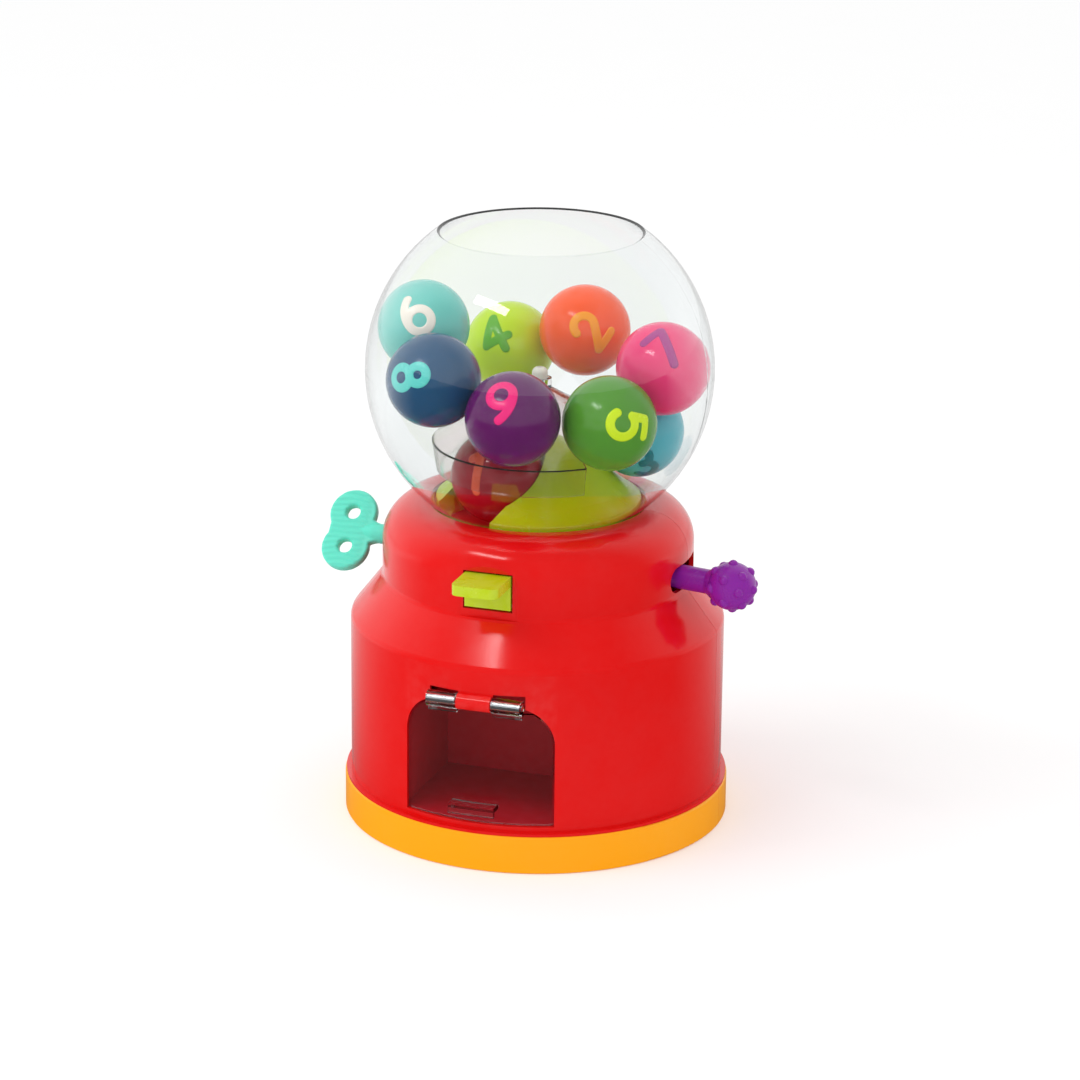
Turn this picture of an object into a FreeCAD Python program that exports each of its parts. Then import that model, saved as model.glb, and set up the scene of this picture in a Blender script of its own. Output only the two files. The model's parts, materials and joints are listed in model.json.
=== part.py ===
"""Toy gumball machine with a clear globe, numbered balls, a wind-up key, two levers and a flap door.

Frame: millimetres, +Z up, origin at the centre of the underside, front towards -Y.
A key turns the carousel through a crown gear; a side lever swings the shutter under the drop hole;
the front lever lifts the gate at the end of the chute; the ball lands in the tray behind the door.
"""
import FreeCAD
import Part
import Sketcher

import math
import os

V = FreeCAD.Vector
X_AXIS = V(1, 0, 0)
Y_AXIS = V(0, 1, 0)
Z_AXIS = V(0, 0, 1)

doc = FreeCAD.newDocument("gumball_machine")
sheet = doc.addObject("Spreadsheet::Sheet", "sizes")

# Driving dimensions: alias, value in mm or degrees, and what it is.
SIZES = [
    ("ring_radius", 99.0, "outer radius of the base ring"),
    ("ring_height", 19.5, "height of the base ring"),
    ("ring_wall", 2.9, "wall of the base ring"),
    ("ring_foot", 11.0, "width of the ring's inward foot"),
    ("plate_thick", 2.6, "thickness of the base plate's rim"),
    ("foot_thick", 2.4, "thickness of the ring's foot"),
    ("ring_stand", 3.2, "how far the base ring stands out past the lower body"),
    ("body_top", 105.0, "height where the lower body's wall ends"),
    ("neck_radius", 79.5, "outer radius of the neck"),
    ("neck_base", 126.0, "height where the neck begins"),
    ("shoulder_base", 145.0, "height where the shoulder arc begins"),
    ("shoulder_radius", 20.0, "radius of the rounded shoulder"),
    ("casing_wall", 2.4, "wall of the casing"),
    ("flange_lip", 2.6, "how far the casing's flange stands out"),
    ("flange_thick", 1.5, "thickness of the casing's flange"),
    ("edge_round", 5.5, "rounding of the lower body's upper edge"),
    ("waist_round", 4.0, "rounding where the slope meets the neck"),
    ("seam_gap", 0.3, "shadow gap between two halves"),
    ("globe_radius", 88.1, "outer radius of the globe"),
    ("globe_wall", 1.4, "wall of the globe"),
    ("mouth_radius", 52.0, "outer radius of the globe's open mouth"),
    ("seat_radius", 55.5, "globe radius where it enters the casing"),
    ("collar_drop", 4.4, "depth of the globe's collar below the casing top"),
    ("bead_height", 1.6, "height of the collar's snap bead"),
    ("bead_stand", 2.6, "how far the bead stands out of the collar"),
    ("lip_wall", 1.4, "wall behind the bead's groove"),
    ("fit_gap", 0.3, "clearance between pieces that only sit together"),
    ("run_gap", 0.05, "radial clearance of a running fit"),
    ("move_gap", 0.6, "clearance between pieces that move past each other"),
    ("ball_radius", 23.5, "radius of each ball"),
    ("pocket_gap", 0.4, "clearance round a ball in the carousel's pocket"),
    ("pocket_centre", 26.6, "radius at which the pocket carries a ball"),
    ("pocket_angle", 237.4, "direction of the pocket at rest"),
    ("deck_drop", 7.1, "deck surface below the casing top"),
    ("deck_thick", 2.0, "thickness of the deck"),
    ("deck_rim", 0.5, "height of the track that the carousel runs on"),
    ("deck_skirt", 7.4, "depth of the deck's ring wall"),
    ("deck_wall", 1.8, "wall of the deck's ring"),
    ("deck_flange", 72.0, "outer radius of the deck's flange"),
    ("hole_gap", 1.1, "clearance round a ball in the drop hole"),
    ("web_thick", 1.5, "thickness of the carousel's web"),
    ("gear_inner", 56.5, "inner radius of the crown gear's teeth"),
    ("gear_outer", 62.0, "outer radius of the crown gear's teeth"),
    ("gear_depth", 4.3, "height of the crown gear's teeth"),
    ("gear_teeth", 36, "teeth of the crown gear"),
    ("tooth_width", 4.0, "width of a crown tooth"),
    ("mound_skirt", 7.5, "height of the carousel's upright skirt"),
    ("mound_height", 41.0, "height of the carousel's mound above the deck"),
    ("post_radius", 1.5, "radius of the centre post"),
    ("guard_radius", 52.3, "outer radius of the guard's lower edge"),
    ("guard_base", 182.0, "height of the guard's lower edge"),
    ("guard_eaves", 196.5, "height where the guard's roof begins"),
    ("guard_flare", 2.2, "how far the guard's wall leans out"),
    ("guard_peak", 226.0, "height of the guard's hub"),
    ("guard_wall", 1.6, "wall of the guard"),
    ("window_start", -46.0, "angle where the guard's window begins"),
    ("window_sweep", 125.0, "angle that the guard's window spans"),
    ("key_height", 136.5, "height of the key's shaft"),
    ("pin_circle", 19.75, "radius of the pinion's circle of pins"),
    ("pin_radius", 1.6, "radius of a pinion pin"),
    ("pinion_pins", 12, "pins of the pinion"),
    ("shaft_radius", 2.5, "radius of the key's shaft"),
    ("stem_radius", 5.25, "radius of the key's stem"),
    ("key_reach", 103.0, "distance of the key's lobes from the axis"),
    ("lobe_radius", 12.7, "radius of a key lobe"),
    ("lobe_offset", 9.6, "distance of a lobe's centre from the shaft line"),
    ("lobe_hole", 3.7, "radius of the hole in a lobe"),
    ("blade_thick", 6.4, "thickness of the key's blade"),
    ("key_tilt", -41.0, "turn of the key's blade at rest"),
    ("lever_height", 134.5, "height of the side lever"),
    ("lever_pivot", 40.0, "distance of the side lever's pivot from the axis"),
    ("pivot_radius", 3.0, "radius of the side lever's pivot post"),
    ("lever_stem", 6.2, "radius of the side lever's stem"),
    ("lever_reach", 67.8, "pivot to the middle of the knob"),
    ("lever_angle", -10.8, "direction of the side lever at rest"),
    ("knob_radius", 12.2, "radius of the knob's ball"),
    ("stud_radius", 2.6, "radius of the knob's round studs"),
    ("slot_half", 20.3, "half the width of the side lever's slot"),
    ("slot_gap", 0.4, "clearance above and below the side lever's stem"),
    ("shutter_reach", 34.0, "pivot to the tip of the shutter"),
    ("shutter_turn", 165.9, "shutter arm's direction from the lever's"),
    ("flat_face", 78.0, "distance of the neck's flat from the axis"),
    ("flat_top", 151.5, "top of the neck's flat"),
    ("tab_half", 12.0, "half the width of the front lever"),
    ("tab_low", 131.2, "bottom of the front lever's plate"),
    ("tab_high", 148.8, "top of the front lever's plate"),
    ("tab_reach", 22.0, "how far the tab stands out"),
    ("tab_thick", 5.2, "thickness of the tab"),
    ("plate_gap", 0.9, "gap round the front lever's plate"),
    ("press_pivot_y", -74.5, "front lever's pin, front to back"),
    ("press_pivot_z", 133.0, "front lever's pin, height"),
    ("door_half", 38.9, "half the width of the door opening"),
    ("door_low", 23.8, "bottom of the door opening"),
    ("door_high", 86.8, "top of the door opening"),
    ("door_round", 20.0, "upper corner radius of the door opening"),
    ("door_gap", 0.9, "gap round the door"),
    ("door_thick", 1.8, "thickness of the door"),
    ("hinge_stand", 0.7, "how far the door hinge's line stands out of the lower body"),
    ("hinge_z", 88.0, "door hinge, height"),
    ("hinge_radius", 4.1, "outer radius of the hinge barrel and clips"),
    ("hinge_pin", 1.75, "radius of the door's pin"),
    ("barrel_half", 8.8, "half the length of the middle barrel"),
    ("clip_length", 15.0, "length of each door clip"),
    ("tray_half", 41.0, "half the inner width of the tray"),
    ("tray_back", -22.0, "inner back of the tray"),
    ("tray_wall", 2.0, "wall of the tray"),
    ("chute_half", 25.5, "half the inner width of the chute"),
    ("chute_high", 106.0, "rear height of the chute's floor"),
    ("chute_low", 72.0, "front height of the chute's floor"),
    ("finger_clear", 41.0, "height of the front lever's finger above the chute's front end"),
    ("click_radius", 10.5, "outer radius of the click wheel"),
    ("chute_rear", 52.0, "inner rear of the chute"),
    ("chute_wall", 2.0, "wall of the chute"),
    ("chute_sides", 26.0, "height of the chute's sides at its front"),
    ("screw_radius", 1.5, "radius of the screws"),
    ("screw_head", 2.8, "radius of the screws' heads"),
    ("screw_cap", 1.8, "height of the screws' heads"),
    ("side_seat", 24.0, "how far behind the seam the casing screws' heads sit"),
    ("spring_radius", 3.55, "outer radius of the front lever's spring"),
    ("spring_wire", 0.7, "wire of the front lever's spring"),
    ("bracket_face", 50.0, "outer face of the key bracket's web, from the axis"),
    ("click_thick", 2.5, "thickness of the click wheel"),
    ("boss_radius", 4.4, "radius of the screw bosses"),
]
for row, (alias, value, meaning) in enumerate(SIZES, start=1):
    sheet.set(f"A{row}", meaning)
    sheet.set(f"B{row}", str(value))
    sheet.setAlias(f"B{row}", alias)
doc.recompute()

# Names for lengths that several pieces share, as expressions of the sheet's cells.
ALIASES = [alias for alias, _, _ in SIZES]
DERIVED = {
    "body_radius": "(ring_radius - ring_stand)",
    "hinge_y": "(-ring_radius + ring_stand - hinge_stand)",
    "deck_floor": "(shoulder_base + shoulder_radius - deck_drop - deck_skirt)",
    "pinion_face": "(-gear_outer - 3.6)",
    "click_face": "(-bracket_face - 3.5)",
    "casing_top": "(shoulder_base + shoulder_radius)",
    "globe_z": "(shoulder_base + shoulder_radius + sqrt(globe_radius ^ 2 - seat_radius ^ 2))",
    "collar_inner": "(seat_radius - globe_wall - 1)",
    "collar_outer": "(seat_radius - 1)",
    "deck_top": "(shoulder_base + shoulder_radius - deck_drop)",
    "lip_low": "(shoulder_base + shoulder_radius - collar_drop)",
    "web_low": "(shoulder_base + shoulder_radius - deck_drop + deck_rim + 0.1)",
    "slope_shift": "(casing_wall * tan(atan((ring_radius - ring_stand - neck_radius)"
                   " / (neck_base - body_top)) / 2))",
    "plate_top": "(foot_thick + plate_thick)",
    "hole_radius": "(ball_radius + hole_gap)",
    "deck_ring": "(pocket_centre + ball_radius + hole_gap + deck_wall + 1.2)",
}


# Where repeated pieces go: angles about the axis, or x and y, or x and height.
BASE_SCREWS = (45, 135, 225, 315)
BASE_SCREW_CIRCLE = "ring_radius - ring_foot - 6.5"
TRAY_POSTS = ((32, -62), (-32, -62), (32, -32), (-32, -32))
DECK_SCREWS = (45, 135, 225, 315)
DECK_SCREW_CIRCLE = "deck_flange - 3.2"
SIDE_SCREWS = (("body_radius - 14", 40), ("14 - body_radius", 40), ("body_radius - 14", 92),
               ("14 - body_radius", 92))
BRACKET_SCREWS = ((-42, 8), (-42, -8))
CHUTE_HOLES = (-8, 8)

# Rows of studs round the knob: how many, the first one's turn and the row's tilt from the stem's line.
STUD_ROWS = ((1, 0, 0), (6, 0, 48), (6, 30, 88), (6, 0, 128))
STUDS = [(360 / count * step + first, tilt) for count, first, tilt in STUD_ROWS for step in range(count)]

# Balls: number, direction, height of the centre, and its radius where it isn't against the globe's wall.
BALLS = (
    (1, "pocket_angle", "deck_top + ball_radius + 0.3", "pocket_centre"),
    (2, 77, "globe_z + 10.5", "44"),
    (3, 30.5, "globe_z - 35.4", None),
    (4, 123, "globe_z - 4.6", None),
    (5, -37.6, "globe_z - 13.1", None),
    (6, -170.6, "globe_z + 19.4", None),
    (7, 6.6, "globe_z + 4.3", None),
    (8, -127.9, "globe_z + 3.3", None),
    (9, -83.6, "globe_z - 8.6", None),
)


def expand(text):
    """Write a formula of named sizes as an expression of the spreadsheet's cells."""
    words = []
    word = ""
    for letter in str(text) + " ":
        if letter.isalnum() or letter == "_":
            word += letter
            continue
        if word in DERIVED:
            words.append(expand(DERIVED[word]))
        elif word in ALIASES:
            words.append("sizes." + word)
        else:
            words.append(word)
        words.append(letter)
        word = ""
    return "".join(words).strip()


def size(text):
    """Value of a formula of named sizes."""
    found = sheet.evalExpression(expand(text))
    return float(getattr(found, "Value", found))


def bind(thing, **formulas):
    """Bind properties to formulas; a double underscore stands for a dot."""
    for name, formula in formulas.items():
        thing.setExpression(name.replace("__", "."), expand(formula))
    return thing


def place(thing, at=(0, 0, 0), turn=None):
    """Bind a thing's position, after an optional fixed turn (axis, degrees)."""
    if turn:
        thing.Placement = FreeCAD.Placement(V(0, 0, 0), FreeCAD.Rotation(*turn))
    for name, formula in zip("xyz", at):
        if formula:
            thing.setExpression("Placement.Base." + name, expand(formula))
    return thing


def new(kind, name):
    """Add an object of a kind to the document."""
    return doc.addObject(kind, name)


ALONG = {"z": None, "x": (Y_AXIS, 90), "y": (X_AXIS, -90)}


def cylinder(name, radius, length, at=(0, 0, 0), along="z"):
    """Cylinder from a point along an axis."""
    return place(bind(new("Part::Cylinder", name), Radius=radius, Height=length), at, ALONG[along])


def cone(name, radius, end_radius, length, at=(0, 0, 0), along="z"):
    """Cone from a point along an axis."""
    sides = {"Radius1": radius, "Radius2": end_radius, "Height": length}
    return place(bind(new("Part::Cone", name), **sides), at, ALONG[along])


def box(name, low, high):
    """Box between two corners."""
    sides = {key: f"({b}) - ({a})" for key, a, b in zip(("Length", "Width", "Height"), low, high)}
    return place(bind(new("Part::Box", name), **sides), low)


def ball(name, radius, at=(0, 0, 0)):
    """Sphere about a point."""
    return place(bind(new("Part::Sphere", name), Radius=radius), at)


def fuse(name, *pieces, refine=True):
    """One solid from several pieces."""
    joined = new("Part::MultiFuse", name)
    joined.Shapes = list(pieces)
    joined.Refine = refine
    return joined


def cut(name, base, *tools):
    """A piece less one or more tools."""
    less = new("Part::Cut", name)
    less.Base = base
    less.Tool = tools[0] if len(tools) == 1 else fuse(name + "_tools", *tools)
    less.Refine = True
    return less


def common(name, one, other):
    """What two pieces share."""
    shared = new("Part::Common", name)
    shared.Base = one
    shared.Tool = other
    return shared


def group(name, pieces):
    """Separate solids under one name."""
    together = new("Part::Compound", name)
    together.Links = list(pieces)
    return together


def turned(name, source, axis, angle, about=(0, 0, 0)):
    """Copy of a piece, turned about a line through a point."""
    copy = new("Part::Compound", name)
    copy.Links = [source]
    centre = V(*[size(part) for part in about])
    copy.Placement = FreeCAD.Placement(V(0, 0, 0), FreeCAD.Rotation(axis, size(angle)), centre)
    return copy


def role(body, name):
    """One of a body's own origin planes or axes."""
    return next(item for item in body.Origin.OriginFeatures if item.Role == name)


def outline(body, plane, corners):
    """Closed sketch through corners (x, y) or (x, y, radius, side).

    A radius makes the edge that arrives at the corner an arc; its centre is to the left (1) or the
    right (-1) of the way there.
    """
    sketch = body.newObject("Sketcher::SketchObject", body.Name + "_outline")
    sketch.AttachmentSupport = [(role(body, plane), "")]
    sketch.MapMode = "FlatFace"
    points = [V(size(c[0]), size(c[1]), 0) for c in corners]
    edges = []
    for index, corner in enumerate(corners):
        start = points[index - 1]
        end = points[index]
        if len(corner) == 2:
            edges.append(Part.LineSegment(start, end))
            continue
        radius = size(corner[2])
        chord = end - start
        middle = (start + end) / 2
        left = V(-chord.y, chord.x, 0) / chord.Length
        rise = math.sqrt(max(radius ** 2 - chord.Length ** 2 / 4, 0))
        centre = middle + left * rise * corner[3]
        swell = middle - centre
        if swell.Length < 1e-6:
            swell = -left * corner[3]
        crown = centre + swell / swell.Length * radius
        if corner[3] > 0:
            edges.append(Part.Arc(start, crown, end))
        else:
            edges.append(Part.Arc(end, crown, start))
    sketch.addGeometry(edges, False)
    count = len(edges)
    ends = [(2, 1) if len(corner) > 2 and corner[3] < 0 else (1, 2) for corner in corners]
    rules = []
    names = []
    for index, corner in enumerate(corners):
        following = (index + 1) % count
        rules.append(Sketcher.Constraint("Coincident", index, ends[index][1], following, ends[following][0]))
        names.append(None)
        for kind, value, formula in (("DistanceX", points[index].x, corner[0]),
                                     ("DistanceY", points[index].y, corner[1])):
            rules.append(Sketcher.Constraint(kind, -1, 1, index, ends[index][1], value))
            names.append((f"{kind}_{index}", formula))
        if len(corner) > 2:
            rules.append(Sketcher.Constraint("Radius", index, size(corner[2])))
            names.append((f"Radius_{index}", corner[2]))
    sketch.addConstraint(rules)
    for index, pair in enumerate(names):
        if pair:
            sketch.renameConstraint(index, pair[0])
            sketch.setExpression("Constraints." + pair[0], expand(pair[1]))
    return sketch


def revolved(name, corners):
    """Body turned about +Z from an outline of (radius, height) corners."""
    body = new("PartDesign::Body", name)
    sketch = outline(body, "XZ_Plane", corners)
    turn = body.newObject("PartDesign::Revolution", name + "_turn")
    turn.Profile = sketch
    turn.ReferenceAxis = (sketch, ["V_Axis"])
    turn.Angle = 360
    sketch.Visibility = False
    return body


def padded(name, plane, corners, length, at=(0, 0, 0)):
    """Body padded both ways from an outline on an origin plane."""
    body = new("PartDesign::Body", name)
    sketch = outline(body, plane, corners)
    pad = body.newObject("PartDesign::Pad", name + "_pad")
    pad.Profile = sketch
    pad.setExpression("Length", expand(length))
    pad.Midplane = True
    place(body, at)
    return body


def rounded(body, name, radius, chosen):
    """Round the edges of a body that a test chooses."""
    doc.recompute()
    tip = body.Tip
    picked = [f"Edge{i}" for i, edge in enumerate(tip.Shape.Edges, start=1) if chosen(edge)]
    if not picked:
        raise RuntimeError("no edge to round on " + name)
    soft = body.newObject("PartDesign::Fillet", name)
    soft.Base = (tip, picked)
    soft.setExpression("Radius", expand(radius))
    return body


def ring_edge(radius, height):
    """Test for a circular edge of a radius at a height."""
    def chosen(edge):
        round_edge = isinstance(edge.Curve, Part.Circle)
        return round_edge and abs(edge.Curve.Radius - size(radius)) < 0.01 \
            and abs(edge.Curve.Center.z - size(height)) < 0.01
    return chosen


def screw(name, at, length, along="z", head_last=False):
    """Screw whose shank runs from a point along an axis, with its head before the shank or past its end."""
    shank = cylinder(name + "_shank", "screw_radius", length, at, along)
    seat = list(at)
    index = "xyz".index(along)
    seat[index] = f"({at[index]}) + ({length})" if head_last else f"({at[index]}) - screw_cap"
    return fuse(name, shank, cylinder(name + "_head", "screw_head", "screw_cap", seat, along))


def spot(radius, angle):
    """Formulas for a point at a radius and an angle about +Z."""
    return (f"({radius}) * cos({angle})", f"({radius}) * sin({angle})")


nodes = {}


def keep(name, thing):
    """Name a finished piece, which is written to its own file."""
    thing.Label = name
    nodes[name] = thing
    return thing


def base():
    """Base plate with screw holes and tray posts, and the two halves of the ring round it."""
    plate = revolved("plate_disc", [
        (0, 0), ("ring_radius - ring_foot - fit_gap", 0), ("ring_radius - ring_foot - fit_gap", "foot_thick"),
        ("body_radius - 0.4", "foot_thick"), ("body_radius - 0.4", "plate_top"), (0, "plate_top")])
    posts = []
    holes = []
    for index, (x, y) in enumerate(TRAY_POSTS):
        posts.append(cylinder(f"tray_post_{index}", "boss_radius", "door_low - tray_wall - 0.4 - plate_top",
                              (x, y, "plate_top")))
        holes.append(cylinder(f"tray_post_hole_{index}", "screw_radius + 0.1", "door_low", (x, y, 0)))
        holes.append(cylinder(f"tray_post_sink_{index}", "screw_head + 0.2", 2, (x, y, 0)))
    for index, angle in enumerate(BASE_SCREWS):
        x, y = spot(BASE_SCREW_CIRCLE, angle)
        holes.append(cylinder(f"plate_hole_{index}", "screw_radius + 0.1", "plate_top", (x, y, 0)))
        holes.append(cylinder(f"plate_sink_{index}", "screw_head + 0.2", 2, (x, y, 0)))
    keep("base_plate", cut("base_plate_cut", fuse("plate_with_posts", plate, *posts), *holes))

    ring = revolved("ring_turned", [
        ("ring_radius - ring_foot", 0), ("ring_radius - 0.8", 0), ("ring_radius", 0.8, 0.8, 1),
        ("ring_radius", "ring_height - 1"), ("ring_radius - 1", "ring_height", 1, 1),
        ("ring_radius - ring_wall", "ring_height"), ("ring_radius - ring_wall", "foot_thick"),
        ("ring_radius - ring_foot", "foot_thick")])
    for name, low, high in halves("ring_height"):
        keep("base_ring_" + name, common("ring_" + name, ring, box("ring_half_" + name, low, high)))

    screws = [screw(f"base_screw_{i}", (*spot(BASE_SCREW_CIRCLE, a), 1.9), "plate_top + 8")
              for i, a in enumerate(BASE_SCREWS)]
    keep("base_screws", group("base_screw_group", screws))


def halves(top):
    """Boxes that take the front and rear half of a piece, with the seam's gap between them."""
    wide = "ring_radius + 10"
    return (("front", (f"-({wide})", f"-({wide})", -1), (wide, "-seam_gap / 2", f"({top}) + 1")),
            ("rear", (f"-({wide})", "seam_gap / 2", -1), (wide, wide, f"({top}) + 1")))


def casing():
    """Red shell of the machine in two halves, with its openings and bosses."""
    shell = revolved("shell", [
        ("body_radius - casing_wall", "plate_top"), ("body_radius", "plate_top"),
        ("body_radius", "ring_height + 0.05"), ("body_radius + flange_lip", "ring_height + 0.05"),
        ("body_radius + flange_lip", "ring_height + flange_thick"), ("body_radius", "ring_height + flange_thick"),
        ("body_radius", "body_top"), ("neck_radius", "neck_base"), ("neck_radius", "shoulder_base"),
        ("neck_radius - shoulder_radius", "casing_top", "shoulder_radius", 1),
        ("seat_radius + 0.5", "casing_top"),
        ("seat_radius + 0.5", "lip_low + 0.8 + bead_height"),
        ("collar_outer + bead_stand + 0.4", "lip_low + 0.8 + bead_height"),
        ("collar_outer + bead_stand + 0.4", "lip_low + 0.7"),
        ("seat_radius + 0.5", "lip_low + 0.7"), ("seat_radius + 0.5", "lip_low"),
        ("collar_outer + bead_stand + 0.4 + lip_wall", "lip_low"),
        ("collar_outer + bead_stand + 0.4 + lip_wall", "casing_top - casing_wall"),
        ("neck_radius - shoulder_radius", "casing_top - casing_wall"),
        ("neck_radius - casing_wall", "shoulder_base", "shoulder_radius - casing_wall", -1),
        ("neck_radius - casing_wall", "neck_base - slope_shift"),
        ("body_radius - casing_wall", "body_top - slope_shift")])
    rounded(shell, "body_edge", "edge_round", ring_edge("body_radius", "body_top"))
    rounded(shell, "waist_edge", "waist_round", ring_edge("neck_radius", "neck_base"))

    inside = [box("face_pad", ("-tab_half - 5", "-flat_face - 1", "tab_low - 4.4"),
                  ("tab_half + 5", "-flat_face + 3", "tab_high + 2"))]
    for side in (-1, 1):
        low, high = sorted((f"{side} * (tab_half + 2)", f"{side} * (tab_half + 5)"), key=size)
        inside.append(box(f"press_lug_{side + 1}", (low, "-flat_face + 2", "press_pivot_z - 3"),
                          (high, "press_pivot_y + 3.5", "press_pivot_z + 3")))
    for index, angle in enumerate(DECK_SCREWS):
        x, y = spot(DECK_SCREW_CIRCLE, angle)
        inside.append(cylinder(f"deck_boss_{index}", "boss_radius - 0.6", "9.5",
                               (x, y, "deck_floor")))
    for index, angle in enumerate(BASE_SCREWS):
        x, y = spot(BASE_SCREW_CIRCLE, angle)
        inside.append(cylinder(f"base_boss_{index}", "boss_radius", 18, (x, y, "plate_top")))
        rib = box(f"base_rib_{index}", ("ring_radius - ring_foot - 3", -1, "plate_top"),
                  ("body_radius - 1", 1, "plate_top + 18"))
        inside.append(turned(f"base_rib_turned_{index}", rib, Z_AXIS, angle))
    barrel = cylinder("hinge_barrel", "hinge_radius", "2 * barrel_half",
                      ("-barrel_half", "hinge_y", "hinge_z"), "x")
    barrel_root = box("hinge_root", ("0.4 - barrel_half", "hinge_y", "door_high + 0.4"),
                      ("barrel_half - 0.4", "casing_wall - body_radius + 0.7", "hinge_z + hinge_radius - 0.6"))
    sides = []
    for index, (x, z) in enumerate(SIDE_SCREWS):
        sides.append(cylinder(f"side_boss_{index}", "boss_radius + 0.4", "body_radius - 35 + 14",
                              (x, -14, z), "y"))
        low, high = sorted((x, f"({x}) * 1.14"), key=size)
        sides.append(box(f"side_rib_{index}", (low, -14, z - 1.2), (high, 20, z + 1.2)))
    inner = revolved("shell_inside", [
        (0, "plate_top"), ("body_radius - 1", "plate_top"), ("body_radius - 1", "body_top - 0.5"),
        ("neck_radius - 1", "neck_base - 0.5"), ("neck_radius - 1", "shoulder_base"),
        ("neck_radius - shoulder_radius", "casing_top - 1", "shoulder_radius - 1", 1), (0, "casing_top - 1")])
    bosses = common("bosses", fuse("inside_pieces", *inside, *sides), inner)

    holes = [
        box("door_low_part", ("-door_half", "-ring_radius - 8", "door_low"),
            ("door_half", -60, "door_high - door_round")),
        box("door_high_part", ("door_round - door_half", "-ring_radius - 8", "door_low"),
            ("door_half - door_round", -60, "door_high")),
        box("face_flat", ("-tab_half - 12", "-flat_face - 20", "neck_base"),
            ("tab_half + 12", "-flat_face", "flat_top + 1.5")),
        box("plate_hole", ("-tab_half - plate_gap", "-flat_face - 5", "tab_low - plate_gap - 0.3"),
            ("tab_half + plate_gap", "press_pivot_y + 4", "tab_high + plate_gap")),
        cylinder("press_pin_hole", "hinge_pin - 0.2", "2 * tab_half + 16",
                 ("-tab_half - 8", "press_pivot_y", "press_pivot_z"), "x"),
        cylinder("shell_pin_hole", "hinge_pin", "2 * barrel_half + 2",
                 ("-barrel_half - 1", "hinge_y", "hinge_z"), "x"),
        cylinder("key_hole", "stem_radius + 2.3", 30, ("-neck_radius - 8", 0, "key_height"), "x"),
        box("slot_middle", ("neck_radius - 14", "lever_stem + slot_gap - slot_half",
                            "lever_height - lever_stem - slot_gap"),
            ("neck_radius + 8", "slot_half - lever_stem - slot_gap", "lever_height + lever_stem + slot_gap")),
    ]
    for side in (-1, 1):
        name = "left" if side < 0 else "right"
        holes.append(cylinder("door_corner_" + name, "door_round", "ring_radius - 52",
                              (f"{side} * (door_half - door_round)", "-ring_radius - 8",
                               "door_high - door_round"), "y"))
        holes.append(cylinder("slot_end_" + name, "lever_stem + slot_gap", 22,
                              ("neck_radius - 14", f"{side} * (slot_half - lever_stem - slot_gap)",
                               "lever_height"), "x"))
        low, high = sorted((f"{side} * (barrel_half + 0.25)", f"{side} * (barrel_half + clip_length + 1.2)"),
                           key=size)
        holes.append(box("clip_notch_" + name, (low, "-ring_radius - 8", "hinge_z - hinge_radius - 2"),
                         (high, "hinge_y + hinge_radius + 6", "hinge_z + hinge_radius + 0.7")))
    for index, angle in enumerate(DECK_SCREWS):
        x, y = spot(DECK_SCREW_CIRCLE, angle)
        holes.append(cylinder(f"deck_boss_hole_{index}", "screw_radius + 0.1", 7.5,
                              (x, y, "deck_floor - 0.5")))
    for index, angle in enumerate(BASE_SCREWS):
        x, y = spot(BASE_SCREW_CIRCLE, angle)
        holes.append(cylinder(f"base_boss_hole_{index}", "screw_radius + 0.1", "plate_top + 10", (x, y, 0)))
    for index, (x, z) in enumerate(SIDE_SCREWS):
        holes.append(cylinder(f"side_hole_{index}", "screw_radius + 0.1", 60, (x, -10, z), "y"))
        holes.append(cylinder(f"side_sink_{index}", "screw_head + 0.3", 60, (x, "side_seat", z), "y"))
    whole = cut("casing_whole", fuse("casing_solid", shell, bosses), *holes)
    pin_hole = cylinder("door_pin_hole", "hinge_pin", "2 * barrel_half + 2",
                        ("-barrel_half - 1", "hinge_y", "hinge_z"), "x")
    barrel = cut("hinge_barrel_bored", fuse("hinge_barrel_solid", barrel, barrel_root), pin_hole)
    for name, low, high in halves("casing_top"):
        half = common("casing_half_" + name, whole, box("casing_box_" + name, low, high))
        if name == "front":
            half = fuse("casing_with_barrel", half, barrel, refine=False)
        keep("casing_" + name, half)
    screws = [screw(f"casing_screw_{i}", (x, -8, z), "side_seat + 8", "y", head_last=True)
              for i, (x, z) in enumerate(SIDE_SCREWS)]
    keep("casing_screws", group("casing_screw_group", screws))


def globe():
    """Clear globe with an open mouth above and a collar with a snap bead below."""
    keep("globe", revolved("globe_turned", [
        ("collar_inner", "lip_low"), ("collar_outer", "lip_low"), ("collar_outer", "lip_low + 0.8"),
        ("collar_outer + bead_stand", "lip_low + 0.8"),
        ("collar_outer + bead_stand", "lip_low + 0.7 + bead_height"),
        ("collar_outer", "lip_low + 0.7 + bead_height"),
        ("collar_outer", "globe_z - sqrt(globe_radius ^ 2 - (seat_radius - 1) ^ 2)"),
        ("globe_radius", "globe_z", "globe_radius", 1),
        ("mouth_radius", "globe_z + sqrt(globe_radius ^ 2 - mouth_radius ^ 2)", "globe_radius", 1),
        ("mouth_radius - globe_wall", "globe_z + sqrt((globe_radius - globe_wall) ^ 2"
         " - (mouth_radius - globe_wall) ^ 2)"),
        ("globe_radius - globe_wall", "globe_z", "globe_radius - globe_wall", -1),
        ("collar_inner", "globe_z - sqrt((globe_radius - globe_wall) ^ 2 - collar_inner ^ 2)",
         "globe_radius - globe_wall", -1)]))


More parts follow.
